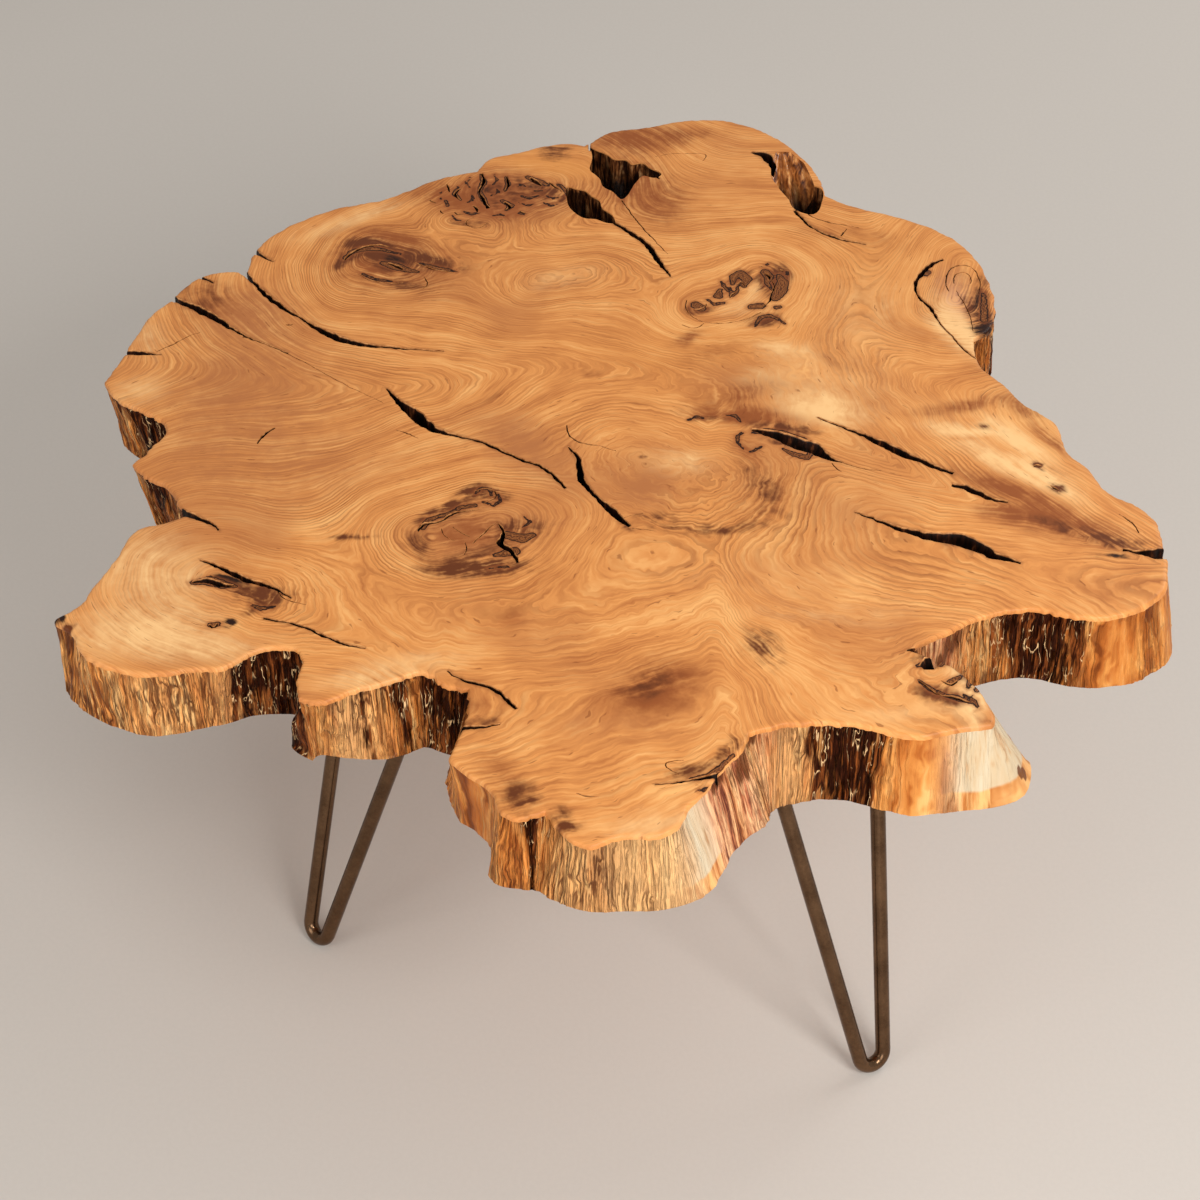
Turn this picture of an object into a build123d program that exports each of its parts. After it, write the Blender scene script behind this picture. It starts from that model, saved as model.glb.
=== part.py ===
from build123d import *
import os
from math import asin, atan2, cos, hypot, radians, sin

# Live-edge slab table on four two-rod hairpin legs. Millimetres, +Z up, front towards -Y.
# The origin lies on the floor, under the middle of the slab.

# Driving dimensions
table_height = 424.0
slab_thickness = 68.0
eased_depth = 4.0        # height of the eased arris round the top face
eased_inset = 3.0        # how far that arris steps in
underside = table_height - slab_thickness

rod_diameter = 12.0
rod_spacing = 109.0      # between the two rods of a leg, where they meet the plate
foot_reach = 119.0       # how far a foot stands out from the middle of its plate
bend_radius = 11.0       # rod centreline at the foot

plate_length = 127.0
plate_width = 95.0
plate_thickness = 4.0
plate_corner = 9.0
screw_pitch_x = 100.0
screw_pitch_y = 68.0
screw_hole = 5.6

screw_diameter = 4.8
screw_length = 30.0      # under the head
pilot_spare = 0.7        # how much deeper the pilot hole is than its screw
head_diameter = 11.0
head_height = 2.8
head_flat = 7.6          # across the crown of the head
socket_radius = 1.5      # hexagon socket in the head
socket_depth = 1.6

weld_leg = 4.0           # how far a weld bead stands out on the plate
weld_height = 5.0        # how far it climbs the rod
weld_edge = 0.4          # how thick it still is where it ends on the rod

clearance = 1.0          # how far a cutter stands out of the face it cuts

# Middle of each plate and the compass angle at which its leg leans out
legs = {
    "front_left": (-163.0, -66.0, 223.0),
    "front_right": (140.0, -175.0, -60.0),
    "rear_right": (142.0, 104.0, 45.0),
    "rear_left": (-104.0, 138.0, 126.0),
}

# The live edge, counter-clockwise in runs that meet at the sharp nicks and bark pockets.
# Each point is x, y on the upper arris and how far the underside stands out past it there.
live_edge = {
    "left_lobe": [
        (-325, -90, 0), (-342, -98, 0), (-359, -105, 0), (-371, -134, 1), (-383, -164, 3),
        (-398, -192, 6), (-408, -202, 0), (-398, -211, 6), (-386, -231, 1), (-364, -249, -3),
        (-335, -256, -3), (-300, -252, -7), (-282, -250, -10), (-264, -236, -4),
        (-246, -230, 1), (-233, -233, 1), (-228, -244, 4),
    ],
    "left_nick": [(-228, -244, 4), (-231, -262, 8), (-228, -280, 0)],
    "middle_lobe": [
        (-228, -280, 0), (-216, -284, -12), (-194, -276, -1), (-170, -266, 9), (-144, -255, 9),
    ],
    "bark_bay": [(-144, -255, 9), (-132, -261, 6), (-121, -270, 3), (-110, -271, 8)],
    "front_bay_side": [(-110, -271, 8), (-109, -288, 16), (-115, -314, 10), (-121, -336, -5)],
    "front_lobe_left": [
        (-121, -336, -5), (-107, -351, -7), (-90, -369, 1), (-83, -387, 8), (-71, -393, 4),
        (-54, -386, 14),
    ],
    "front_lobe": [
        (-54, -386, 14), (-44, -403, 6), (-25, -417, 0), (-6, -409, 8), (22, -407, 9),
        (38, -395, 17), (42, -382, 24),
    ],
    "front_lobe_flank": [
        (42, -382, 24), (58, -361, 18), (71, -341, 18), (81, -329, 20), (87, -314, 22),
    ],
    "front_right_lobe": [
        (87, -314, 22), (102, -308, 17), (148, -304, 10), (172, -309, 11), (195, -316, 12),
        (228, -311, 16), (254, -306, 16),
    ],
    "front_right_end": [
        (254, -306, 16), (256, -299, 36), (252, -286, 40), (243, -266, 34), (229, -247, 14),
        (204, -232, 8),
    ],
    "right_lobe_front": [
        (204, -232, 8), (222, -219, 4), (262, -198, 3), (298, -192, 3), (326, -199, 4),
        (352, -198, 6), (378, -186, 9), (394, -165, 10), (398, -142, 9),
    ],
    "right_lobe_back": [
        (398, -142, 9), (397, -108, 9), (388, -84, 7), (361, -60, 4), (352, -37, 3),
        (338, -18, 3), (334, 13, 3), (310, 39, 3), (297, 63, 3), (283, 82, 3), (280, 116, 2),
    ],
    "burl_knob": [
        (280, 116, 2), (292, 126, 2), (300, 152, 3), (298, 192, 4), (289, 225, 4),
        (261, 260, 4), (220, 282, 4), (190, 295, 3), (173, 307, 2),
    ],
    "rear_lobe": [
        (173, 307, 2), (168, 333, 2), (152, 369, 3), (128, 396, 3), (100, 413, 2),
        (72, 417, 0), (46, 413, 0), (15, 404, 2), (-8, 399, 2), (-24, 385, 2),
    ],
    "rear_slit": [(-24, 385, 2), (-31, 379, 2)],
    "rear_left_lobe": [
        (-31, 379, 2), (-43, 382, 2), (-86, 370, 3), (-113, 358, 3), (-122, 342, 3),
    ],
    "rear_left_edge": [
        (-122, 342, 3), (-164, 325, 4), (-190, 306, 4), (-238, 289, 4), (-276, 264, 4),
        (-296, 240, 3), (-305, 203, 2),
    ],
    "far_left_lobe": [(-305, 203, 2), (-322, 204, 2), (-344, 195, 2), (-361, 167, 1)],
    "far_left_edge": [
        (-361, 167, 1), (-371, 156, 0), (-383, 131, -1), (-391, 103, -3), (-404, 64, -9),
    ],
    "bark_hollow": [
        (-404, 64, -9), (-389, 39, -12), (-363, 24, -7), (-350, 7, -3), (-357, -10, -3),
        (-372, -33, -20),
    ],
    "left_hollow": [
        (-372, -33, -20), (-359, -47, -13), (-342, -59, -8), (-332, -76, -3), (-325, -90, 0),
    ],
}

# Drying checks in the top face: depth, then x, y and width along each one
checks = {
    "far_left": (46, [(-372, 176, 11), (-353, 163, 5), (-334, 151, 7), (-320, 139, 6),
                      (-303, 121, 2), (-262, 99, 1)]),
    "left_long": (46, [(-315, 216, 8), (-295, 185, 3), (-272, 157, 4), (-254, 141, 2),
                       (-236, 125, 6), (-211, 111, 5), (-185, 106, 2.5), (-140, 101, 1)]),
    "left_edge": (30, [(-400, 98, 6), (-380, 99, 5), (-362, 97, 1)]),
    "hollow_tail": (40, [(-334, -84, 9), (-314, -94, 4), (-303, -101, 2.5), (-298, -107, 1)]),
    "centre_left": (34, [(-183, 56, 1), (-172, 40, 5), (-157, 22, 10), (-146, 9, 7),
                         (-130, 1, 3), (-106, -9, 2.5), (-80, -26, 2.5), (-58, -39, 2.5),
                         (-43, -61, 2)]),
    "centre": (34, [(-41, -13, 1), (-34, -27, 3), (-31, -49, 5), (-20, -70, 3), (-8, -86, 6),
                    (5, -103, 2)]),
    "right_long": (34, [(150, 21, 1), (181, 2, 3.5), (205, -15, 7), (226, -30, 5),
                        (249, -44, 3.5)]),
    "right_short": (30, [(247, -56, 3), (262, -63, 6), (274, -72, 4), (287, -76, 2)]),
    "right_wide": (40, [(172, -87, 1), (192, -98, 3), (224, -113, 8), (253, -120, 13),
                        (270, -133, 8), (290, -142, 2)]),
    "front_left": (30, [(-258, -200, 2), (-226, -210, 2), (-201, -225, 2), (-183, -230, 1)]),
    "front_bay": (34, [(-124, -252, 1), (-113, -262, 2), (-95, -269, 3), (-75, -290, 2)]),
    "front_bay_lip": (34, [(-122, -319, 8), (-112, -309, 4), (-98, -307, 2.5), (-86, -304, 1)]),
    "centre_right": (12, [(99, 7, 2), (114, 2, 8), (130, -7, 12), (146, -16, 12),
                          (158, -27, 4), (166, -31, 1.5)]),
    "void_tail": (46, [(-8, 288, 6), (4, 264, 8), (20, 239, 7), (25, 226, 4), (40, 194, 1)]),
    "knob_bark": (14, [(263, 219, 4), (247, 201, 5), (238, 178, 3), (247, 156, 4),
                       (251, 136, 2), (270, 104, 1)]),
    "knot": (20, [(-93, -99, 1), (-88, -111, 3), (-90, -119, 4.5), (-83, -129, 4),
                  (-77, -142, 1.5)]),
    "left_knot": (16, [(-309, -139, 1), (-294, -147, 3), (-277, -158, 4.5), (-258, -166, 3),
                       (-239, -179, 1)]),
    "burl_seam": (16, [(145, 286, 2.5), (157, 264, 2), (181, 246, 2.5), (201, 239, 1)]),
    "burl_branch": (16, [(166, 282, 4), (180, 273, 2), (197, 266, 1)]),
    "front_lip": (12, [(20, -361, 1), (44, -357, 2), (63, -352, 4)]),
    "neck_pocket": (12, [(209, -249, 5), (215, -245, 11), (221, -238, 7), (214, -232, 4),
                         (200, -232, 2)]),
    "left_slit": (14, [(-347, 199, 3), (-337, 193, 3), (-329, 188, 1)]),
    "rear_left_slit": (20, [(-303, 235, 7), (-292, 223, 3), (-283, 216, 1)]),
}

# Openings right through the slab, as closed curves
voids = {
    "rear_slit": [(-22, 394), (-20, 368), (4, 357), (24, 350), (29, 338), (12, 331), (2, 303),
                  (-13, 318), (-24, 352), (-31, 392)],
    "rear_left": [(-45, 318), (-34, 317), (-23, 303), (-20, 288), (-2, 262), (-26, 273),
                  (-41, 283)],
    "rolled_burl": [(141, 300), (146, 286), (160, 280), (168, 296), (167, 318), (152, 321)],
}

# The rolled burl: a scoop that falls from the rear of its lobe into its void, as its outline
# in the top face, the y and depth of its floor from the rear to the front, and its x range
roll_outline = [(132, 366), (150, 367), (164, 348), (171, 318), (169, 296), (142, 296),
                (126, 332)]
roll_floor = [(378, 1.5), (352, 8), (314, 36), (276, 44)]
roll_left = 120.0
roll_width = 60.0

# Shallow bark pocket in the end of the right lobe
pocket_width = 11.0
pocket_length = 32.0
pocket_depth = 18.0
pocket_centre = (398.0, -132.5)


def edge_ring(height, stand_out):
    """Closed wire round the slab at one height; stand_out moves a point along its normal."""
    points = [point for run in live_edge.values() for point in run[:-1]]
    moved = []
    for index, (x, y, lean) in enumerate(points):
        before = points[index - 1]
        after = points[(index + 1) % len(points)]
        along_x = after[0] - before[0]
        along_y = after[1] - before[1]
        shift = stand_out(lean) / hypot(along_x, along_y)
        moved.append(Vector(x + along_y * shift, y - along_x * shift, height))
    edges = []
    first = 0
    for run in live_edge.values():
        last = first + len(run) - 1
        run_points = [moved[index % len(moved)] for index in range(first, last + 1)]
        if len(run_points) == 2:
            edges.append(Edge.make_line(*run_points))
        else:
            edges.append(Edge.make_spline(run_points))
        first = last
    return Wire(edges)


def slab_blank():
    """The slab with its flared live edge and eased arris, before any opening is cut."""
    foot = edge_ring(underside, lambda lean: lean)
    shoulder = edge_ring(table_height - eased_depth, lambda lean: 0.0)
    top = edge_ring(table_height, lambda lean: -eased_inset)
    walls = []
    for lower, upper in ((foot, shoulder), (shoulder, top)):
        for low_edge, high_edge in zip(lower.edges(), upper.edges()):
            walls.append(Face.make_surface_from_curves(low_edge, high_edge))
    return Solid(Shell(walls + [Face(foot), Face(top)]))


def check_cutter(depth, line):
    """Narrow wedge of air along a drying check, widest where the check is widest."""
    left = []
    right = []
    for index, (x, y, width) in enumerate(line):
        before = line[max(index - 1, 0)]
        after = line[min(index + 1, len(line) - 1)]
        along_x = after[0] - before[0]
        along_y = after[1] - before[1]
        half = width / 2 / hypot(along_x, along_y)
        left.append((x - along_y * half, y + along_x * half))
        right.append((x + along_y * half, y - along_x * half))
    outline = make_face(Polyline(*left, *reversed(right), close=True))
    floor = table_height - depth
    return extrude(Pos(0, 0, floor) * outline, amount=depth + clearance)


def void_cutter(points):
    outline = make_face(Spline(*points, periodic=True))
    return extrude(Pos(0, 0, underside - clearance) * outline,
                   amount=slab_thickness + 2 * clearance)


def roll_cutter():
    """Wedge that deepens towards the front, kept inside the outline of the rolled burl."""
    outline = make_face(Spline(*roll_outline, periodic=True))
    well = extrude(Pos(0, 0, underside) * outline, amount=slab_thickness + clearance)
    floor = [(y, table_height - depth) for y, depth in roll_floor]
    above = table_height + clearance
    profile = make_face(Polyline(*floor, (floor[-1][0], above), (floor[0][0], above), close=True))
    wedge = extrude(Plane.YZ.offset(roll_left) * profile, amount=roll_width)
    return well & wedge


def screw_places(x, y, angle):
    """The four screw axes of one plate, in table coordinates."""
    place = Pos(x, y, 0) * Rot(0, 0, angle - 90)
    return [place * spot for spot in GridLocations(screw_pitch_x, screw_pitch_y, 2, 2)]


def screw_core(length):
    """Round bar as thick as a screw's shank, standing on the XY plane."""
    return Cylinder(screw_diameter / 2, length, align=(Align.CENTER, Align.CENTER, Align.MIN))


def slab():
    blank = slab_blank()
    cutters = [check_cutter(depth, line) for depth, line in checks.values()]
    cutters += [void_cutter(points) for points in voids.values()]
    cutters.append(roll_cutter())
    cutters.append(Pos(*pocket_centre, table_height - pocket_depth) * Box(
        pocket_length, pocket_width, pocket_depth + clearance,
        align=(Align.CENTER, Align.CENTER, Align.MIN)))
    seat = Pos(0, 0, underside - plate_thickness)
    pilot_hole = screw_core(screw_length + pilot_spare)
    for place in legs.values():
        cutters += [seat * spot * pilot_hole for spot in screw_places(*place)]
    body = blank
    for cutter in cutters:
        body = body - cutter
    return max(body.solids(), key=lambda solid: solid.volume)


def plate(place):
    x, y, angle = place
    blank = extrude(RectangleRounded(plate_length, plate_width, plate_corner),
                    amount=plate_thickness)
    blank = Pos(x, y, underside - plate_thickness) * Rot(0, 0, angle - 90) * blank
    middle = Pos(0, 0, underside - plate_thickness / 2)
    hole = Cylinder(screw_hole / 2, plate_thickness + 2 * clearance)
    return blank - [middle * spot * hole for spot in screw_places(*place)]


def leg_plane(place):
    """Plane of the hairpin: x across the leg, y down towards the foot, origin at the plate."""
    x, y, angle = place
    drop = underside - plate_thickness - rod_diameter / 2
    outward = Vector(cos(radians(angle)), sin(radians(angle)), 0)
    down = outward * foot_reach + Vector(0, 0, -drop)
    across = Vector(outward.Y, -outward.X, 0)
    origin = Vector(x, y, underside - plate_thickness)
    return Plane(origin=origin, x_dir=across, z_dir=across.cross(down))


def hairpin():
    """Ends of the straight run and of the bend, in the leg plane, and the rod's lean there."""
    half = rod_spacing / 2
    drop = underside - plate_thickness - rod_diameter / 2
    centre = hypot(foot_reach, drop) - bend_radius
    lean = atan2(half, centre) - asin(bend_radius / hypot(half, centre))
    tangent = (bend_radius * cos(lean), centre + bend_radius * sin(lean))
    spare = rod_diameter
    start = (half + spare * sin(lean), -spare * cos(lean))
    return start, tangent, centre + bend_radius, lean


def below_plate(body):
    return split(body, bisect_by=Plane.XY.offset(underside - plate_thickness), keep=Keep.BOTTOM)


def rod(place):
    plane = leg_plane(place)
    (start_x, start_y), (bend_x, bend_y), foot_y, lean = hairpin()
    path = plane * (
        Line((start_x, start_y), (bend_x, bend_y))
        + ThreePointArc((bend_x, bend_y), (0, foot_y), (-bend_x, bend_y))
        + Line((-bend_x, bend_y), (-start_x, start_y))
    )
    section = Plane(origin=path @ 0, z_dir=path % 0) * Circle(rod_diameter / 2)
    return below_plate(sweep(section, path=path))


def rod_axes(place):
    """Plane at each rod's upper end, its z axis along the rod towards the foot."""
    plane = leg_plane(place)
    start, bend, _, _ = hairpin()
    planes = []
    for side in (1, -1):
        top = plane.from_local_coords(Vector(side * start[0], start[1], 0))
        low = plane.from_local_coords(Vector(side * bend[0], bend[1], 0))
        planes.append(Plane(origin=top, z_dir=low - top))
    return planes


def welds(place):
    """A fillet bead round each rod, tapering down from the plate."""
    radius = rod_diameter / 2
    slope = (weld_leg - weld_edge) / weld_height
    top = radius + weld_leg + slope * rod_diameter
    profile = make_face(Polyline((radius, 0), (top, 0),
                                 (radius + weld_edge, rod_diameter + weld_height),
                                 (radius, rod_diameter + weld_height), close=True))
    beads = []
    for axis_plane in rod_axes(place):
        beads.append(below_plate(axis_plane * revolve(Plane.XZ * profile, Axis.Z)))
    return Compound(beads)


def screws(place):
    """Four pan-head wood screws, driven up through the plate into the slab."""
    seat = Pos(0, 0, underside - plate_thickness)
    head = Pos(0, 0, -head_height / 2) * Cone(head_flat / 2, head_diameter / 2, head_height)
    socket = Pos(0, 0, -head_height) * extrude(RegularPolygon(socket_radius, 6), socket_depth)
    one = (head - socket) + screw_core(screw_length)
    return Compound([seat * spot * one for spot in screw_places(*place)])


def write(name, shape):
    export_step(shape, os.path.join("parts", name + ".step"))


os.makedirs("parts", exist_ok=True)
write("slab", slab())
for leg, place in legs.items():
    write(leg + "_plate", plate(place))
    write(leg + "_rod", rod(place))
    write(leg + "_welds", welds(place))
    write(leg + "_screws", screws(place))
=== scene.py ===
from math import cos, pi, radians, sin

import bmesh
import bpy
import numpy as np
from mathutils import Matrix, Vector, noise
from mathutils.geometry import delaunay_2d_cdt


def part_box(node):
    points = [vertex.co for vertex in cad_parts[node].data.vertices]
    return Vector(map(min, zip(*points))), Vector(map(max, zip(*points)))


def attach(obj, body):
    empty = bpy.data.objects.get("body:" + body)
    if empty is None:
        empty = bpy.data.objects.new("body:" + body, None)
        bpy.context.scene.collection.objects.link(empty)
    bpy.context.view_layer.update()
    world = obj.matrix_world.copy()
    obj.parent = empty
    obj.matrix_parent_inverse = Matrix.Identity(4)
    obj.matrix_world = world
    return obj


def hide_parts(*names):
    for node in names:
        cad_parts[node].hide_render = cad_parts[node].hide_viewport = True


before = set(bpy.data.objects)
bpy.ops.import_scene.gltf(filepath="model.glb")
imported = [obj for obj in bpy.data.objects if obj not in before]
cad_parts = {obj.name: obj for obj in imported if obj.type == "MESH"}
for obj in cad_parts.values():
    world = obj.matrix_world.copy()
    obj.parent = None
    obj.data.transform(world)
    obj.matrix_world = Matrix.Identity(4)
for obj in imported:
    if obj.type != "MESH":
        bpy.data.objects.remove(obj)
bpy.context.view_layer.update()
slabLow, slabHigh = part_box("slab")
underside = slabLow[2] * 1000  # the slab is shaped in millimetres
topFace = slabHigh[2] * 1000
print("frame loaded, slab from", round(underside), "to", round(topFace), "mm")


def onlySelect(piece):
    bpy.ops.object.select_all(action="DESELECT")
    piece.select_set(True)
    bpy.context.view_layer.objects.active = piece


def applyModifier(piece, kind, **settings):
    onlySelect(piece)
    modifier = piece.modifiers.new(kind.title(), kind)
    for name, value in settings.items():
        setattr(modifier, name, value)
    bpy.ops.object.modifier_apply(modifier=modifier.name)


def makePiece(name, points, faces):
    mesh = bpy.data.meshes.new(name)
    mesh.from_pydata([Vector(point) / 1000 for point in points], [], faces)
    mesh.update()
    piece = bpy.data.objects.new(name, mesh)
    bpy.context.scene.collection.objects.link(piece)
    return piece


def turnOutwards(piece):
    body = bmesh.new()
    body.from_mesh(piece.data)
    bmesh.ops.recalc_face_normals(body, faces=body.faces)
    body.to_mesh(piece.data)
    body.free()


def ripple(x, y, z, across, along):
    # Noise that changes every few millimetres round the trunk and slowly up it
    return noise.noise(Vector((x / across, y / across, z / along)))


def smoothLine(points, step, finePoints=24):
    # A natural cubic spline through the points, walked in even steps of that many millimetres
    points = np.array(points, dtype=float)
    chord = np.hypot(*np.diff(points[:, :2], axis=0).T)
    count = len(points)
    system = np.eye(count)
    pull = np.zeros_like(points)
    for i in range(1, count - 1):
        system[i, i - 1:i + 2] = chord[i - 1], 2 * (chord[i - 1] + chord[i]), chord[i]
        pull[i] = 6 * ((points[i + 1] - points[i]) / chord[i]
                       - (points[i] - points[i - 1]) / chord[i - 1])
    bend = np.linalg.solve(system, pull)
    share = np.linspace(0, 1, finePoints, endpoint=False)[:, None]
    rest = 1 - share
    fine = [rest * points[i] + share * points[i + 1]
            + chord[i] ** 2 / 6 * ((rest ** 3 - rest) * bend[i]
                                   + (share ** 3 - share) * bend[i + 1])
            for i in range(count - 1)]
    fine = np.vstack(fine + [points[-1:]])
    walked = np.concatenate([[0], np.cumsum(np.hypot(*np.diff(fine[:, :2], axis=0).T))])
    stops = np.linspace(0, walked[-1], max(2, round(walked[-1] / step) + 1))
    return np.column_stack([np.interp(stops, walked, column) for column in fine.T])


slabForm = {
    "columnWidth": 1.45,   # millimetres between the points round the live edge
    "rowHeight": 4.6,
    "arris": 4.0,          # height of the eased rim, and how far it steps in
    "arrisInset": 3.0,
    "arrisRows": 4,
    "stripInset": 5.0,     # flat band inside the rim
    "footArris": 1.5,
    "topGrid": 8.0,        # spacing of the points that carry the figure's colours
    "footGrid": 16.0,
    "gridGap": 2.5,        # the least distance from those points to the band
    "groove": (6.0, 52.0, 1.7),   # across, along, depth of the main flutes
    "fineGroove": (3.2, 24.0, 0.8),
    "grooveFade": 9.0,     # they fade out over this height at the top face
    "lump": (46.0, 80.0, 2.2),
    "swell": (15.0, 60.0, 1.3),
    "barkLump": (7.5, 16.0, 1.6),
    "barkEdge": ((7.0, 60.0, 0.34), (3.0, 26.0, 0.3)),   # across, along and size of its ragged edge
    "barkStart": 0.45,     # the share that shows as bark, how much more at the foot, how crisply
    "barkRise": 0.2,
    "barkSharp": 2.0,
    "wobble": ((15.0, 1.3), (5.0, 0.6)),  # wavelength and depth of the small nicks in the outline
    "smoothAngle": 50,
}

# What the live edge's material reads on each point
wallMarks = ("relief", "bark", "cream", "golden", "pale", "flank", "calm", "edgeX", "edgeY")

# x, y on the upper arris and how far the underside stands out there, in runs between the nicks
liveEdge = {
    "leftLobe": [
        (-325, -90, 0), (-342, -98, 0), (-359, -105, 0), (-371, -134, 1), (-383, -164, 3),
        (-398, -192, 6), (-408, -202, 0), (-398, -211, 6), (-386, -231, 1), (-364, -249, -3),
        (-335, -256, -3), (-300, -252, -7), (-282, -250, -10), (-264, -236, -4),
        (-246, -230, 1), (-233, -233, 1), (-228, -244, 4),
    ],
    "leftNick": [(-228, -244, 4), (-231, -262, 8), (-228, -280, -6)],
    "middleLobe": [
        (-228, -280, -6), (-216, -284, -12), (-194, -276, -1), (-170, -266, 9), (-144, -255, 9),
    ],
    "barkBay": [(-144, -255, 9), (-132, -261, 6), (-121, -270, 3), (-110, -271, 8)],
    "frontBaySide": [(-110, -271, 8), (-109, -288, 16), (-115, -314, 10), (-121, -336, -5)],
    "frontLobeLeft": [
        (-121, -336, -5), (-107, -351, -7), (-90, -369, 1), (-83, -387, 8), (-71, -393, 4),
        (-54, -386, 14),
    ],
    "frontLobe": [
        (-54, -386, 14), (-44, -403, 6), (-25, -417, 0), (-6, -409, 8), (22, -407, 9),
        (38, -395, 17), (42, -382, 24),
    ],
    "frontLobeFlank": [
        (42, -382, 24), (58, -361, 18), (71, -341, 18), (81, -329, 20), (87, -314, 22),
    ],
    "frontRightLobe": [
        (87, -314, 22), (102, -308, 17), (148, -304, 10), (172, -309, 11), (195, -316, 12),
        (228, -311, 16), (254, -306, 17),
    ],
    "frontRightEnd": [
        (254, -306, 17), (256, -303, 26), (257, -299, 31), (254, -286, 33), (245, -266, 34),
        (230, -247, 18), (204, -232, 8),
    ],
    "rightLobeFront": [
        (204, -232, 8), (222, -219, 4), (262, -198, 3), (298, -192, 3), (326, -199, 4),
        (352, -198, 6), (378, -186, 9), (394, -165, 10), (398, -142, 9),
    ],
    "rightLobeBack": [
        (398, -142, 9), (397, -108, 9), (388, -84, 7), (361, -60, 4), (352, -37, 3),
        (338, -18, 3), (334, 13, 3), (310, 39, 3), (297, 63, 3), (283, 82, 3), (280, 116, 2),
    ],
    "burlKnob": [
        (280, 116, 2), (292, 126, 2), (300, 152, 3), (298, 192, 4), (289, 225, 4),
        (261, 260, 4), (220, 282, 4), (190, 295, 3), (173, 307, 2),
    ],
    "rearLobe": [
        (173, 307, 2), (168, 333, 2), (152, 369, 3), (128, 396, 3), (100, 413, 2),
        (72, 417, 0), (46, 413, 0), (15, 404, 2), (-8, 399, 2), (-24, 385, 2),
    ],
    "rearSlit": [(-24, 385, 2), (-31, 379, 2)],
    "rearLeftLobe": [
        (-31, 379, 2), (-43, 382, 2), (-86, 370, 3), (-113, 358, 3), (-122, 342, 3),
    ],
    "rearLeftEdge": [
        (-122, 342, 3), (-164, 325, 4), (-190, 306, 4), (-238, 289, 4), (-276, 264, 4),
        (-296, 240, 3), (-305, 203, 2),
    ],
    "farLeftLobe": [(-305, 203, 2), (-322, 204, 2), (-344, 195, 2), (-361, 167, 1)],
    "farLeftEdge": [
        (-361, 167, 1), (-371, 156, 0), (-383, 131, -1), (-391, 103, -3), (-404, 64, -9),
    ],
    "barkHollow": [
        (-404, 64, -9), (-389, 39, -12), (-363, 24, -7), (-350, 7, -3), (-357, -10, -3),
        (-372, -33, -16),
    ],
    "leftHollow": [
        (-372, -33, -16), (-359, -47, -13), (-342, -59, -8), (-332, -76, -3), (-325, -90, 0),
    ],
}

# How the live edge is finished: x, y, radius and strength of each patch, by kind
edgeFinish = {
    "bark": [
        (-264, -238, 24, 1.1), (-240, -232, 24, 1.3), (-229, -262, 20, 1.2), (-292, -252, 16, 0.45),
        (-181, -271, 7, 0.8), (-157, -260, 12, 1.0), (-132, -261, 20, 1.2), (-112, -272, 18, 1.2),
        (-110, -292, 18, 0.8), (-83, -388, 9, 0.7), (-62, -390, 11, 1.1), (132, -305, 9, 0.6),
        (156, -306, 30, 1.3), (270, -197, 12, 0.6), (302, -193, 40, 1.2), (300, 150, 22, 1.1),
        (296, 120, 16, 0.8), (-395, 48, 18, 0.7), (-372, 28, 24, 1.2), (-352, 6, 24, 1.3),
        (-364, -22, 20, 0.9), (-352, -52, 22, 1.0), (-334, -74, 16, 0.8), (-122, 345, 12, 0.9),
        (-305, 204, 12, 0.9), (140, 385, 22, 0.5), (-235, 290, 22, 0.6), (355, -50, 18, 0.6),
        (-28, 382, 10, 1.2), (-362, 165, 9, 0.9), (318, 30, 12, 0.5), (62, 416, 18, 0.6),
    ],
    "cream": [
        (47, -378, 19, 1.3), (245, -306, 18, 1.3), (257, -294, 20, 1.3), (246, -268, 18, 1.1),
    ],
    "golden": [
        (208, -315, 22, 1.2), (188, -312, 12, 0.9), (345, -199, 22, 1.0), (375, -188, 18, 1.0),
        (396, -160, 20, 0.8), (-110, -348, 18, 1.0), (-96, -364, 12, 0.8), (-213, -284, 16, 0.8),
        (-400, -215, 14, 0.5), (104, -309, 14, 0.6), (-20, -414, 24, 0.4),
    ],
    "pale": [
        (0, -412, 36, 1.0), (-30, -412, 20, 0.8), (26, -404, 20, 1.0), (-196, -278, 22, 0.8),
        (112, -307, 18, 0.9), (-330, -256, 30, 0.35), (398, -135, 20, 0.5), (-280, -251, 20, 0.4),
    ],
    "flank": [
        (62, -356, 18, 1.0), (78, -332, 16, 1.0), (92, -312, 12, 0.6), (226, -217, 18, 0.8),
    ],
    "smooth": [
        (-107, -352, 22, 1.0), (205, -315, 24, 1.0), (247, -306, 18, 1.0), (255, -288, 26, 1.0),
        (355, -198, 24, 1.0), (392, -165, 22, 0.9), (50, -376, 20, 1.3), (70, -342, 26, 0.5),
        (102, -309, 14, 0.5), (226, -217, 20, 0.6), (-100, 365, 30, 0.5), (280, 240, 40, 0.5),
    ],
}

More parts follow.
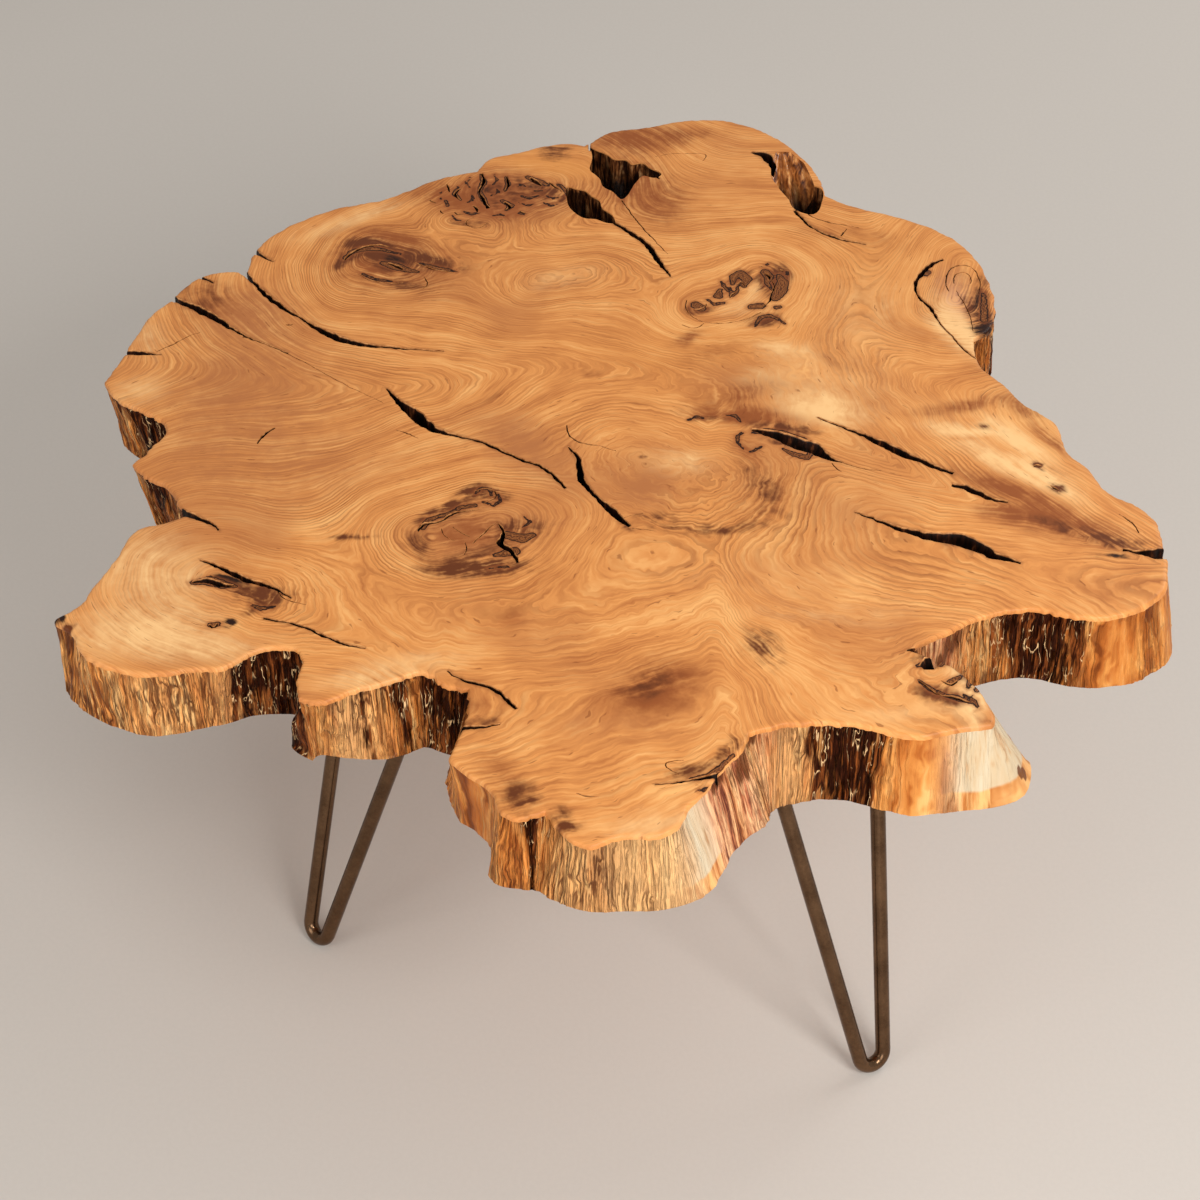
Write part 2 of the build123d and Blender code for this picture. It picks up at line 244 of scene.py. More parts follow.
# Knots and stains on the live edge: x, y, z, half width, half height and strength
wallSpots = [
    (277, -306, 384, 3, 5, 1.0), (279, -302, 376, 3, 8, 1.0), (282, -297, 368, 3, 6, 1.0),
    (270, -310, 396, 2.5, 3, 0.9), (262, -308, 410, 3, 4, 0.9), (271, -314, 374, 2, 6, 0.8),
    (283, -290, 380, 3, 8, 0.7), (240, -312, 372, 1.6, 2, 0.8), (248, -314, 380, 1.4, 2, 0.8),
    (-405, -202, 415, 6, 9, 1.0), (-403, -196, 422, 5, 5, 0.9), (-399, -214, 412, 5, 12, 0.9),
    (-208, -284, 364, 8, 3, 0.8), (-196, -280, 366, 7, 3, 0.7), (60, -352, 420, 10, 8, 0.9),
    (78, -330, 408, 9, 16, 0.8), (72, -338, 396, 5, 18, 0.6), (88, -316, 420, 7, 6, 0.7),
    (20, -410, 376, 4, 8, 0.5), (-40, -404, 380, 4, 9, 0.6), (388, -178, 378, 5, 5, 0.4),
    (236, -214, 412, 9, 16, 0.7), (228, -216, 396, 6, 12, 0.6), (210, -236, 410, 10, 14, 0.8),
]

# Drying checks: depth, then x, y and width along each one
checks = {
    "farLeft": (46, [(-372, 176, 11), (-353, 163, 5), (-334, 151, 7), (-320, 139, 5),
                     (-303, 124, 2), (-262, 99, 1)]),
    "leftLong": (46, [(-315, 216, 8), (-295, 185, 3), (-272, 157, 4), (-254, 141, 2),
                      (-236, 125, 6), (-211, 111, 5), (-185, 106, 2.5), (-140, 101, 1)]),
    "leftEdge": (30, [(-400, 98, 6), (-380, 99, 5), (-362, 97, 1)]),
    "hollowTail": (40, [(-334, -84, 9), (-314, -94, 4), (-303, -101, 2.5), (-298, -107, 1)]),
    "centreLeft": (34, [(-183, 56, 1), (-172, 40, 5), (-157, 22, 10), (-146, 9, 7),
                        (-130, 1, 3), (-106, -9, 2.5), (-80, -26, 2.5), (-58, -39, 2.5),
                        (-43, -61, 2)]),
    "centre": (34, [(-41, -13, 1), (-34, -27, 3), (-31, -49, 5), (-20, -70, 3), (-8, -86, 6),
                    (5, -103, 2)]),
    "rightLong": (34, [(150, 21, 1), (181, 2, 3.5), (205, -15, 7), (226, -30, 5),
                       (249, -44, 3.5)]),
    "rightShort": (30, [(247, -56, 3), (262, -63, 6), (274, -72, 4), (287, -76, 2)]),
    "rightWide": (40, [(172, -87, 1), (192, -98, 3), (224, -113, 8), (253, -120, 13),
                       (270, -133, 8), (290, -142, 2)]),
    "frontLeft": (30, [(-258, -200, 2), (-226, -210, 2), (-201, -225, 2), (-183, -230, 1)]),
    "frontBay": (34, [(-124, -252, 1), (-113, -262, 2), (-95, -269, 3), (-75, -290, 2)]),
    "frontBayLip": (34, [(-122, -319, 8), (-112, -309, 4), (-98, -307, 2.5), (-86, -304, 1)]),
    "centreRight": (12, [(99, 7, 2), (114, 2, 8), (130, -7, 12), (146, -16, 12),
                         (158, -27, 4), (166, -31, 1.5)]),
    "voidTail": (44.3, [(-9, 272, 3), (6, 257, 4), (22, 238, 4.5), (31, 217, 4), (40, 196, 1)]),
    "rearSlitTop": (46, [(-27, 390, 3), (-26, 380, 2), (-25, 370, 2)]),
    "knobBark": (14, [(263, 219, 2), (255, 214, 3.5), (245, 202, 3.5), (238, 186, 2.5),
                      (239, 171, 1.5), (246, 159, 2.5), (251, 145, 1.5), (254, 134, 1),
                      (261, 121, 0.8), (269, 105, 1.2), (278, 92, 0.8)]),
    "knot": (20, [(-93, -99, 1), (-88, -111, 3), (-90, -119, 4.5), (-83, -129, 4),
                  (-77, -142, 1.5)]),
    "leftKnot": (16, [(-309, -139, 1), (-294, -147, 3), (-277, -158, 4.5), (-258, -166, 3),
                      (-239, -179, 1)]),
    "burlSeam": (16, [(145, 286, 2.5), (157, 264, 2), (181, 246, 2.5), (201, 239, 1)]),
    "frontLip": (12, [(20, -361, 1), (44, -357, 2), (63, -352, 4)]),
    "neckPocket": (12, [(209, -249, 5), (215, -245, 11), (221, -238, 7), (214, -232, 4),
                        (200, -232, 2)]),
    "leftSlit": (14, [(-347, 199, 3), (-337, 193, 3), (-329, 188, 1)]),
    "rearLeftSlit": (20, [(-303, 235, 7), (-292, 223, 3), (-283, 216, 1)]),
    "rollPit": (40, [(112, 368, 2), (120, 365, 7), (127, 357, 9), (130, 344, 3)]),
    "endPocket": (18, [(404, -132, 11), (390, -132, 11), (380, -131, 5), (366, -128, 3)]),
}

# Hair checks, curls and pits too small to matter to the slab's strength
hairChecks = {
    "farLeftTail": (4, [(-300, 119, 1.2), (-270, 103, 0.8), (-240, 80, 0.8), (-215, 60, 0.7),
                        (-184, 38, 0.5)]),
    "farLeftBranch": (4, [(-366, 101, 1), (-358, 107, 1.2), (-346, 117, 1), (-334, 125, 0.5)]),
    "squiggle": (6, [(-278, -10, 1), (-272, 3, 3), (-266, 9, 1.5)]),
    "tick": (4, [(-173, 6, 1), (-165, 2, 1.6), (-155, -3, 0.8)]),
    "centreHair": (4, [(-42, 12, 0.8), (-40, -2, 1.5), (-20, -12, 1.2), (-5, -18, 0.7)]),
    "centreTailA": (4, [(0, -94, 0.6), (8, -90, 1), (15, -88, 0.6)]),
    "centreTailB": (4, [(7, -104, 1.4), (15, -106, 1), (25, -108, 0.6)]),
    "rightTail": (4, [(160, -28, 1), (180, -38, 1.2), (195, -41, 0.6)]),
    "rightFork": (4, [(158, -32, 1), (161, -37, 1.4), (165, -42, 0.6)]),
    "burlHair": (5, [(153, 283, 1), (160, 276, 1.5), (170, 270, 1.8), (183, 266, 1.2),
                     (197, 262, 0.7)]),
    "burlTick": (4, [(181, 250, 1), (184, 255, 1.8), (187, 260, 1.2)]),
    "voidHair": (6, [(1, 300, 1.6), (9, 281, 1.2), (17, 264, 1.4), (30, 241, 1.0),
                     (38, 226, 0.6)]),
    "rearCurl": (1.5, [(30, 362, 0.8), (48, 366, 0.8), (60, 366, 0.8), (73, 364, 1),
                     (70, 355, 0.7)]),
    "rightHair": (6, [(368, -89, 0.8), (375, -97, 1.6), (380, -110, 1)]),
    "tMark": (1.5, [(-33, -369, 0.8), (-26, -371, 1.5), (-18, -372, 0.8)]),
    "leftKnotTail": (4, [(-250, -172, 1), (-242, -181, 1), (-228, -186, 0.5)]),
    "outerMark": (4, [(-296, -206, 2.5), (-293, -209, 3), (-290, -205, 1)]),
    "knotArcA": (4, [(-152, -108, 1.5), (-147, -101, 3.5), (-137, -98, 2), (-128, -90, 3.2),
                     (-118, -86, 2), (-106, -84, 0.8)]),
    "knotArcB": (2, [(-104, -78, 0.8), (-97, -73, 1.4), (-95, -66, 1.4), (-102, -61, 1),
                     (-111, -64, 0.7)]),
    "knotBranchA": (2.5, [(-111, -121, 0.7), (-105, -113, 1.3), (-98, -104, 1.1),
                          (-93, -98, 0.6)]),
    "knotBranchB": (2, [(-126, -103, 0.6), (-119, -110, 1.1), (-113, -114, 0.8)]),
    "knotBranchC": (2, [(-116, -120, 0.8), (-115, -127, 1.2), (-117, -134, 0.6)]),
    "knotBranchD": (2, [(-134, -105, 0.6), (-131, -113, 1), (-124, -118, 0.7)]),
    "curlA": (2.5, [(94, 184, 0.8), (97, 190, 1.6), (100, 184, 0.8)]),
    "curlB": (4, [(87, 168, 0.8), (89, 172, 2), (92, 177, 0.8)]),
    "curlC": (5, [(116, 201, 0.8), (119, 198, 2.6), (120, 192, 1)]),
    "curlD": (5, [(121, 192, 0.8), (124, 183, 1.6), (121, 174, 1.4), (119, 165, 2),
                  (113, 157, 1)]),
    "curlE": (2.5, [(57, 154, 1), (61, 153, 1.8), (66, 156, 1.6), (68, 161, 0.8)]),
    "curlDotA": (3, [(112, 209, 1), (114, 210, 2), (116, 209, 1)]),
    "curlDotB": (3, [(128, 204, 1), (130, 205, 2.2), (132, 203, 1)]),
    "cross": (2, [(48, 134, 0.7), (58, 130, 1), (66, 136, 0.8)]),
    "ringUnder": (1.5, [(52, 166, 0.8), (54, 148, 1), (68, 137, 1.2), (88, 137, 1),
                        (104, 144, 1.2), (112, 150, 0.8)]),
    "burlPitA": (8, [(-117, 338, 2), (-115, 325, 4), (-118, 312, 2), (-114, 300, 3.5),
                     (-110, 288, 3)]),
    "burlPitB": (8, [(-96, 334, 1), (-94, 322, 3), (-97, 312, 1)]),
    "burlPitC": (6, [(-76, 331, 3), (-70, 326, 5), (-66, 320, 2)]),
    "burlPitD": (6, [(-97, 297, 3), (-92, 292, 4), (-95, 286, 1.5)]),
    "burlPitE": (5, [(-60, 325, 1.5), (-54, 318, 3), (-49, 312, 1.5)]),
    "burlPitF": (5, [(-134, 316, 2), (-138, 308, 3), (-133, 300, 1)]),
    "burlDotA": (4, [(-160, 300, 1), (-157, 297, 2.4), (-154, 295, 1)]),
    "burlDotB": (4, [(-146, 322, 1), (-144, 316, 2.6), (-143, 311, 1)]),
    "burlDotC": (4, [(-138, 284, 1), (-135, 281, 3), (-131, 280, 1)]),
    "burlDotD": (4, [(-124, 292, 1), (-120, 288, 2.8), (-119, 283, 1)]),
    "burlDotE": (3, [(-150, 286, 0.8), (-149, 283, 2), (-147, 281, 0.8)]),
    "burlDotF": (3, [(-102, 274, 0.8), (-98, 272, 2.2), (-95, 273, 0.8)]),
    "burlDotG": (3, [(-84, 286, 0.8), (-81, 282, 2.2), (-78, 281, 0.8)]),
    "burlCurl": (2, [(-122, 276, 0.8), (-128, 270, 1.4), (-124, 263, 1.4), (-114, 263, 1),
                     (-110, 269, 0.7)]),
    "eyePit": (5, [(-190, 214, 1.5), (-183, 210, 4), (-177, 206, 2.5)]),
    "eyeCurlA": (2, [(-214, 200, 0.8), (-204, 192, 1.4), (-190, 188, 1.4), (-176, 188, 0.8)]),
    "eyeCurlB": (2, [(-168, 214, 0.8), (-156, 208, 1.8), (-144, 203, 1.6), (-136, 201, 0.7)]),
    "eyeCurlC": (2, [(-160, 196, 0.8), (-156, 188, 1.4), (-160, 180, 0.8)]),
    "eyeArc": (4, [(-226, 218, 1.5), (-217, 231, 3), (-203, 238, 2.5), (-190, 236, 1)]),
    "knotPitRight": (7, [(-312, -163, 3), (-301, -161, 7), (-291, -165, 6), (-282, -166, 2)]),
    "neckPitA": (4, [(206, -262, 1), (212, -270, 2), (222, -277, 1.5), (230, -279, 3),
                     (240, -283, 2)]),
    "neckPitB": (4, [(222, -262, 1), (229, -266, 3), (233, -262, 1)]),
    "neckPitC": (6, [(237, -246, 2), (243, -256, 4), (247, -266, 2)]),
    "dotA": (4, [(310, -36, 1.5), (313, -34, 3), (316, -36, 1)]),
    "dotB": (4, [(321, -57, 1), (324, -60, 2.5), (326, -63, 1)]),
    "dotC": (3, [(-267, 134, 1), (-264, 134, 2.5), (-261, 135, 1)]),
    "dotD": (3, [(26, 336, 1), (30, 333, 3.5), (33, 329, 1.5)]),
    "swirlKnob": (1.5, [(264, 177, 0.8), (263, 195, 1.6), (270, 208, 2), (281, 211, 1.4),
                        (288, 202, 1.2), (290, 188, 1), (288, 174, 0.7)]),
    "swirlKnobInner": (1.5, [(269, 187, 0.7), (271, 198, 1.4), (278, 202, 1.2), (283, 196, 0.9),
                             (282, 187, 0.7)]),
    "knobVein": (1.5, [(270, 178, 0.7), (275, 162, 1), (278, 145, 0.9), (279, 126, 0.6)]),
    "frontLipCurl": (1.5, [(36, -352, 0.8), (28, -342, 1), (40, -338, 0.7)]),
}

# Section of a check from its root up: share of its depth, height, share of its width, broken lip
checkSection = [(1.0, 0.0, 0.2, 0.0), (0.55, 0.0, 0.65, 0.0), (0.2, 0.0, 0.9, 0.0),
                (0.0, -0.7, 1.0, 0.0), (0.0, 0.0, 1.08, 0.25), (0.0, 1.5, 1.1, 0.4)]
hairSection = [(1.0, 0.0, 0.3, 0.0), (0.0, -0.4, 0.8, 0.0), (0.0, 1.5, 1.1, 0.1)]

# Openings right through the slab, as closed curves that start at a sharp corner
voids = {
    "rearSlit": [(-26, 377), (-20, 371), (-11, 365), (-4, 358), (5, 357), (10, 351), (18, 353),
                 (25, 346), (35, 336), (29, 331), (20, 334), (14, 326), (11, 320), (8, 311),
                 (1, 301), (-6, 311), (-14, 318), (-18, 331), (-25, 341), (-24, 357), (-26, 377)],
    "rearLeft": [(-4, 267), (-13, 269), (-20, 273), (-28, 274), (-37, 281), (-42, 289), (-45, 303),
                 (-43, 319), (-37, 316), (-31, 314), (-24, 306), (-18, 300), (-15, 289), (-8, 281),
                 (-4, 267)],
    "rolledBurl": [(141, 300), (146, 286), (160, 280), (168, 296), (167, 318), (152, 321),
                   (141, 300)],
}

# The rolled burl's scoop, from its rear to its front: y with the x of each side, and with the depth
rolledBurl = {
    "left": [(368, 133), (352, 128), (332, 127), (314, 134), (296, 143)],
    "right": [(368, 145), (352, 156), (332, 161), (314, 164), (296, 164)],
    "floor": [(368, 1), (352, 9), (332, 22), (314, 38), (296, 50)],
    "ribs": 3,
    "ribHeight": 5.0,
    "rough": 1.6,
    "least": 0.5,
    "rows": 34,
    "columns": 30,
}


def wallColumns():
    # For each column its place on the shoulder, foot, rim and strip rings, and the foot's arris
    flat = [point for run in liveEdge.values() for point in run[:-1]]
    standing = []
    for index, (x, y, lean) in enumerate(flat):
        before = flat[index - 1]
        after = flat[(index + 1) % len(flat)]
        along = Vector((after[0] - before[0], after[1] - before[1])).normalized()
        row = []
        for out in (0.0, lean, -slabForm["arrisInset"], -slabForm["stripInset"],
                    lean - slabForm["footArris"]):
            row += [x + along.y * out, y - along.x * out]
        standing.append(row)
    columns = []
    first = 0
    for run in liveEdge.values():
        last = first + len(run) - 1
        line = [standing[index % len(standing)] for index in range(first, last + 1)]
        columns.append(smoothLine(line, slabForm["columnWidth"])[:-1])
        first = last
    return np.vstack(columns)


def finishAt(kind, x, y):
    total = 0.0
    for centreX, centreY, radius, strength in edgeFinish[kind]:
        far = ((x - centreX) ** 2 + (y - centreY) ** 2) / radius ** 2
        total = max(total, strength * 2.718 ** (-0.9 * far))
    return total


def carve(x, y, z, smooth, bark):
    # How deep the live edge is carved at a point, and how much of it is groove. Each form reads
    # the noise from a place of its own.
    leanX = x + 0.05 * z * ripple(x, y, z, 60, 300) + 1.2 * ripple(x, y, z, 18, 30)
    across, along, depth = slabForm["groove"]
    main = 1 - min(1.0, 2.2 * abs(ripple(leanX, y, z, across, along)))
    across, along, fineDepth = slabForm["fineGroove"]
    fine = 1 - min(1.0, 2.0 * abs(ripple(leanX + 40, y, z, across, along)))
    across, along, lump = slabForm["lump"]
    broad = lump * ripple(x, y, z + 90, across, along)
    across, along, swell = slabForm["swell"]
    broad += swell * ripple(leanX, y, z + 50, across, along)
    across, along, lump = slabForm["barkLump"]
    broad += bark * lump * ripple(leanX + 70, y, z, across, along)
    strength = (1 - 0.85 * smooth) * (1 + 0.8 * bark)
    groove = strength * (0.75 * main + 0.4 * fine)
    return broad + strength * (main * depth + fine * fineDepth), groove


def insideRing(ring, places):
    # True for each place whose ray to the right crosses the ring an odd number of times
    inside = np.zeros(len(places), bool)
    placeX, placeY = places.T
    for (x1, y1), (x2, y2) in zip(ring, np.roll(ring, -1, axis=0)):
        spans = (y1 > placeY) != (y2 > placeY)
        if y1 != y2:
            inside ^= spans & (placeX < (x2 - x1) * (placeY - y1) / (y2 - y1) + x1)
    return inside


# Where the figure is so fine that it needs closer points: low and high corner, and the spacing
knotPatches = [
    (44, 122, 140, 214, 1.9), (-246, 178, -128, 246, 2.6), (-166, -156, -52, -56, 2.2),
    (-150, 256, -42, 342, 2.6), (240, 106, 300, 218, 3.0), (198, -290, 252, -226, 2.6),
    (-314, -212, -226, -140, 2.6), (46, -36, 162, 30, 2.2), (-40, -310, 70, -240, 4.0),
    (-90, 165, 10, 215, 4.0), (-30, -115, 44, -10, 4.0), (20, -380, 84, -318, 3.0),
]


def hexGrid(low, high, spacing):
    across = np.arange(low[0], high[0], spacing)
    rows = np.arange(low[1], high[1], spacing * 0.866)
    return np.array([(x + spacing / 2 * (k % 2), y) for k, y in enumerate(rows) for x in across])


def fillRing(ring, spacing, patches):
    # Even triangles inside a ring; gives the inner points, and faces that count the ring first
    grid = hexGrid(ring.min(axis=0), ring.max(axis=0), spacing)
    grids = []
    for lowX, lowY, highX, highY, fine in patches:
        gap = spacing * 0.4
        grid = grid[(grid[:, 0] < lowX - gap) | (grid[:, 0] > highX + gap)
                    | (grid[:, 1] < lowY - gap) | (grid[:, 1] > highY + gap)]
        grids.append(hexGrid((lowX, lowY), (highX, highY), fine))
    grid = np.vstack([grid] + grids)
    grid = grid[insideRing(ring, grid)]
    near = np.array([np.abs(ring - place).max(axis=1).min() for place in grid])
    grid = grid[near > slabForm["gridGap"]]
    count = len(ring)
    points = [Vector(place) for place in np.vstack([ring, grid])]
    edges = [(k, (k + 1) % count) for k in range(count)]
    filled = delaunay_2d_cdt(points, edges, [], 1, 1e-6)
    faces = [tuple(filled[3][corner][0] for corner in face) for face in filled[2]]
    return grid, faces


def slabRows(shoulder, foot, rim, strip, footArris):
    # Height and outline of each row of the live edge, from the underside up to the flat band
    wallTop = topFace - slabForm["arris"]
    bands = round((wallTop - underside) / slabForm["rowHeight"])
    rows = [(underside, footArris), (underside + slabForm["footArris"], foot)]
    for k in range(1, bands + 1):
        share = k / bands
        outline = foot * (1 - share) + shoulder * share
        rows.append((underside + share * (wallTop - underside), outline))
    for k in range(1, slabForm["arrisRows"] + 1):
        turn = k / slabForm["arrisRows"] * pi / 2
        height = wallTop + slabForm["arris"] * sin(turn)
        rows.append((height, shoulder * cos(turn) + rim * (1 - cos(turn))))
    return rows + [(topFace, strip)]


def edgeNicks(shoulder, outward):
    # Small nicks in the outline, in millimetres outwards
    nicks = np.array([sum(size * ripple(x, y, 0, wave, 1) for wave, size in slabForm["wobble"])
                      for x, y in shoulder])
    bend = np.linalg.norm(np.roll(outward, -6, axis=0) - np.roll(outward, 6, axis=0), axis=1)
    nicks *= np.clip(1.2 - 1.6 * bend, 0, 1)  # the sharp bays stay as they are
    return outward * nicks[:, None]


def barkAt(bark, x, y, z):
    # Share of bark at a point: ragged along its edge, and less of it towards the foot
    bark += sum(size * ripple(x, y, z, across, along)
                for across, along, size in slabForm["barkEdge"])
    wallTop = topFace - slabForm["arris"]
    bare = slabForm["barkRise"] * (wallTop - z) / (wallTop - underside)
    return min(1.0, max(0.0, slabForm["barkSharp"] * (bark - slabForm["barkStart"] - bare)))


def wallPoints(rows, shoulder, outward):
    # The carved points of the live edge, and what its material reads on each of them
    kinds = ("smooth", "bark", "cream", "golden", "pale", "flank")
    finish = [[finishAt(kind, x, y) for kind in kinds] for x, y in shoulder]
    points, marks = [], []
    for z, line in rows:
        fade = min(1.0, max(0.0, (topFace - z) / slabForm["grooveFade"]))
        for (x, y), (edgeX, edgeY), (outX, outY), kept in zip(line, shoulder, outward, finish):
            smooth, bark, *tones = kept
            smooth = min(1.0, smooth)
            bark = barkAt(bark, edgeX, edgeY, z)
            depth, groove = carve(edgeX, edgeY, z, smooth, bark)
            if z in (topFace, underside):
                depth = 0.0
            depth *= 0.15 + 0.85 * fade
            points.append((x - outX * depth, y - outY * depth, z))
            marks.append((1 - min(1.0, groove), bark, *(min(1.0, share) for share in tones),
                          smooth, edgeX / 1000, edgeY / 1000))
    return points, marks


def slabBlank():
    columns = wallColumns()
    count = len(columns)
    shoulder, foot, rim, strip, footArris = (columns[:, 2 * k:2 * k + 2] for k in range(5))
    along = np.roll(shoulder, -3, axis=0) - np.roll(shoulder, 3, axis=0)
    outward = np.column_stack([along[:, 1], -along[:, 0]])
    outward /= np.linalg.norm(outward, axis=1)[:, None]
    nicks = edgeNicks(shoulder, outward)
    rows = [(z, line + nicks) for z, line in slabRows(shoulder, foot, rim, strip, footArris)]
    points, marks = wallPoints(rows, shoulder, outward)
    faces = []
    for row in range(len(rows) - 1):
        for column in range(count):
            low = row * count + column
            right = row * count + (column + 1) % count
            faces.append((low, right, right + count, low + count))
    wallFaces = (len(rows) - slabForm["arrisRows"] - 2) * count
    slots = [1] * wallFaces + [0] * (len(faces) - wallFaces)
    for level, ring, spacing, patches in ((underside, footArris, slabForm["footGrid"], []),
                                          (topFace, strip, slabForm["topGrid"], knotPatches)):
        ringStart = (len(rows) - 1) * count if level == topFace else 0
        inner, filled = fillRing(ring + nicks, spacing, patches)
        innerStart = len(points)
        points += [(x, y, level) for x, y in inner]
        for face in filled:
            corners = tuple(ringStart + k if k < count else innerStart + k - count for k in face)
            faces.append(corners[::-1] if level == underside else corners)
        slots += [0] * len(filled)
        marks += [(1.0, *[0.0] * 6, x / 1000, y / 1000) for x, y in inner]
    piece = makePiece("slabLiveEdge", points, faces)
    for name, values in zip(wallMarks, zip(*marks)):
        piece.data.attributes.new(name, "FLOAT", "POINT").data.foreach_set("value", values)
    piece.data.polygons.foreach_set("material_index", slots)
    print("slab blank:", count, "columns,", len(rows), "rows")
    return piece


def addRings(solids, rings):
    # A closed cutter from rings of the same count, the lowest first
    start = len(solids["points"])
    count = len(rings[0])
    for ring in rings:
        solids["points"] += [tuple(point) for point in ring]
    for level in range(len(rings) - 1):
        for k in range(count):
            low = start + level * count + k
            right = start + level * count + (k + 1) % count
            solids["faces"].append((low, right, right + count, low + count))
    solids["faces"].append(tuple(start + k for k in reversed(range(count))))
    solids["faces"].append(tuple(start + (len(rings) - 1) * count + k for k in range(count)))


# The cut of a check: spacing of its points, how far it strays and how far its sides are torn
checkForm = {
    "step": 2.0,
    "stray": ((0.8, 8, 40), (0.4, 3.1, 30)),  # size, across, along
    "strayByWidth": 0.05,
    "tear": (1.1, 4.0, 25),
    "tearShare": 0.9,      # the most of a half width that is torn
    "lipLeast": 0.12,
    "halfLeast": 0.08,
}


def addCheck(solids, depth, line, section):
    # A ragged wedge of air, with a broken lip at the top face
    walk = smoothLine(line, checkForm["step"])
    along = np.gradient(walk[:, :2], axis=0)
    side = np.column_stack([-along[:, 1], along[:, 0]])
    side /= np.linalg.norm(side, axis=1)[:, None]
    (broad, *broadWaves), (small, *smallWaves) = checkForm["stray"]
    most, *tearWaves = checkForm["tear"]
    rings = []
    for share, fall, scale, lip in section:
        z = topFace - share * depth + fall
        left, right = [], []
        for (x, y, width), (sideX, sideY) in zip(walk, side):
            stray = ((broad + checkForm["strayByWidth"] * width) * ripple(x, y, z, *broadWaves)
                     + small * ripple(x, y, z, *smallWaves))
            half = max(checkForm["lipLeast"], 0.5 * width * scale + lip)
            torn = min(checkForm["tearShare"] * half, most)
            toLeft = max(checkForm["halfLeast"], half + torn * ripple(x + 90, y, z, *tearWaves))
            toRight = max(checkForm["halfLeast"], half + torn * ripple(x, y + 70, z, *tearWaves))
            left.append((x + sideX * (stray + toLeft), y + sideY * (stray + toLeft), z))
            right.append((x + sideX * (stray - toRight), y + sideY * (stray - toRight), z))
        rings.append(right + left[::-1])
    addRings(solids, rings)


# The wall of an opening: spacing of its points, rows up it, and folds like the inside of old bark
voidForm = {
    "step": 1.6,
    "rows": 18,
    "past": (3.0, 2.0),    # how far the cutter stands out below the slab and above it
    "folds": ((2.2, 9, 40), (1.1, 3.5, 22)),  # size, across, along
    "calmCorner": 9.0,     # the folds die out this near to the sharp corner
    "calmRim": 12.0,       # and this near to the top face
}


def addVoid(solids, outline):
    # An opening right through the slab
    walk = smoothLine(outline, voidForm["step"])[:-1]
    along = np.roll(walk, -1, axis=0) - np.roll(walk, 1, axis=0)
    side = np.column_stack([along[:, 1], -along[:, 0]])
    side /= np.linalg.norm(side, axis=1)[:, None]
    calm = np.hypot(*(walk - walk[0]).T) / voidForm["calmCorner"]
    levels = list(np.linspace(underside + 3, topFace - 1.5, voidForm["rows"]))
    pastFoot, pastTop = voidForm["past"]
    heights = [underside - pastFoot] + levels + [topFace + pastTop]
    rings = []
    for z, level in zip(heights, levels[:1] + levels + levels[-1:]):
        rim = min(1.0, max(0.15, (topFace - level) / voidForm["calmRim"]))
        ring = []
        for (x, y), (sideX, sideY), quiet in zip(walk, side, calm):
            fold = sum(size * ripple(x, y, level, across, upward)
                       for size, across, upward in voidForm["folds"])
            fold *= rim * min(1.0, quiet)
            ring.append((x + sideX * fold, y + sideY * fold, z))
        rings.append(ring)
    addRings(solids, rings)


def addRoll(solids):
    # The scoop of the rolled burl: ribs that run down from its rear into the opening
    form = rolledBurl
    ys = np.linspace(form["floor"][0][0], form["floor"][-1][0], form["rows"])

    def atY(name):
        return np.interp(-ys, [-y for y, _ in form[name]], [value for _, value in form[name]])

    across = np.linspace(0, 1, form["columns"])
    lower, upper = [], []
    for y, lowX, highX, fall in zip(ys, atY("left"), atY("right"), atY("floor")):
        for share in across:
            x = lowX + (highX - lowX) * share
            rib = form["ribHeight"] * min(1.0, fall / 12) * cos(2 * pi * form["ribs"] * share)
            rough = form["rough"] * min(1.0, fall / 10) * ripple(x, y, 0, 3.2, 10)
            edge = min(1.0, 6 * share, 6 * (1 - share))
            depth = (fall + rib + rough) * (0.25 + 0.75 * edge)
            lower.append((x, y, topFace - max(form["least"], depth)))
            upper.append((x, y, topFace + 2))
    start = len(solids["points"])
    solids["points"] += lower + upper
    wide, tall = len(across), len(ys)

    def at(level, row, column):
        return start + level * wide * tall + row * wide + column

    for level in (0, 1):
        for row in range(tall - 1):
            for column in range(wide - 1):
                solids["faces"].append((at(level, row, column), at(level, row, column + 1),
                                        at(level, row + 1, column + 1), at(level, row + 1, column)))
    rimLoop = ([(0, column) for column in range(wide - 1)]
               + [(row, wide - 1) for row in range(tall - 1)]
               + [(tall - 1, column) for column in range(wide - 1, 0, -1)]
               + [(row, 0) for row in range(tall - 1, 0, -1)])
    for one, two in zip(rimLoop, rimLoop[1:] + rimLoop[:1]):
        solids["faces"].append((at(0, *one), at(0, *two), at(1, *two), at(1, *one)))


def cutOut(slab, name, solids, material):
    cutter = makePiece(name, solids["points"], solids["faces"])
    cutter.data.materials.append(material)
    turnOutwards(cutter)
    applyModifier(slab, "BOOLEAN", operation="DIFFERENCE", solver="EXACT", object=cutter,
                  material_mode="TRANSFER")
    bpy.data.objects.remove(cutter)
    print(name, "cut,", len(slab.data.polygons), "faces")


def tone(red, green, blue):
    # A colour as it is seen, 0 to 255, in the shader's linear units
    linear = [(value / 255 / 12.92 if value < 11 else ((value / 255 + 0.055) / 1.055) ** 2.4)
              for value in (red, green, blue)]
    return (*linear, 1.0)


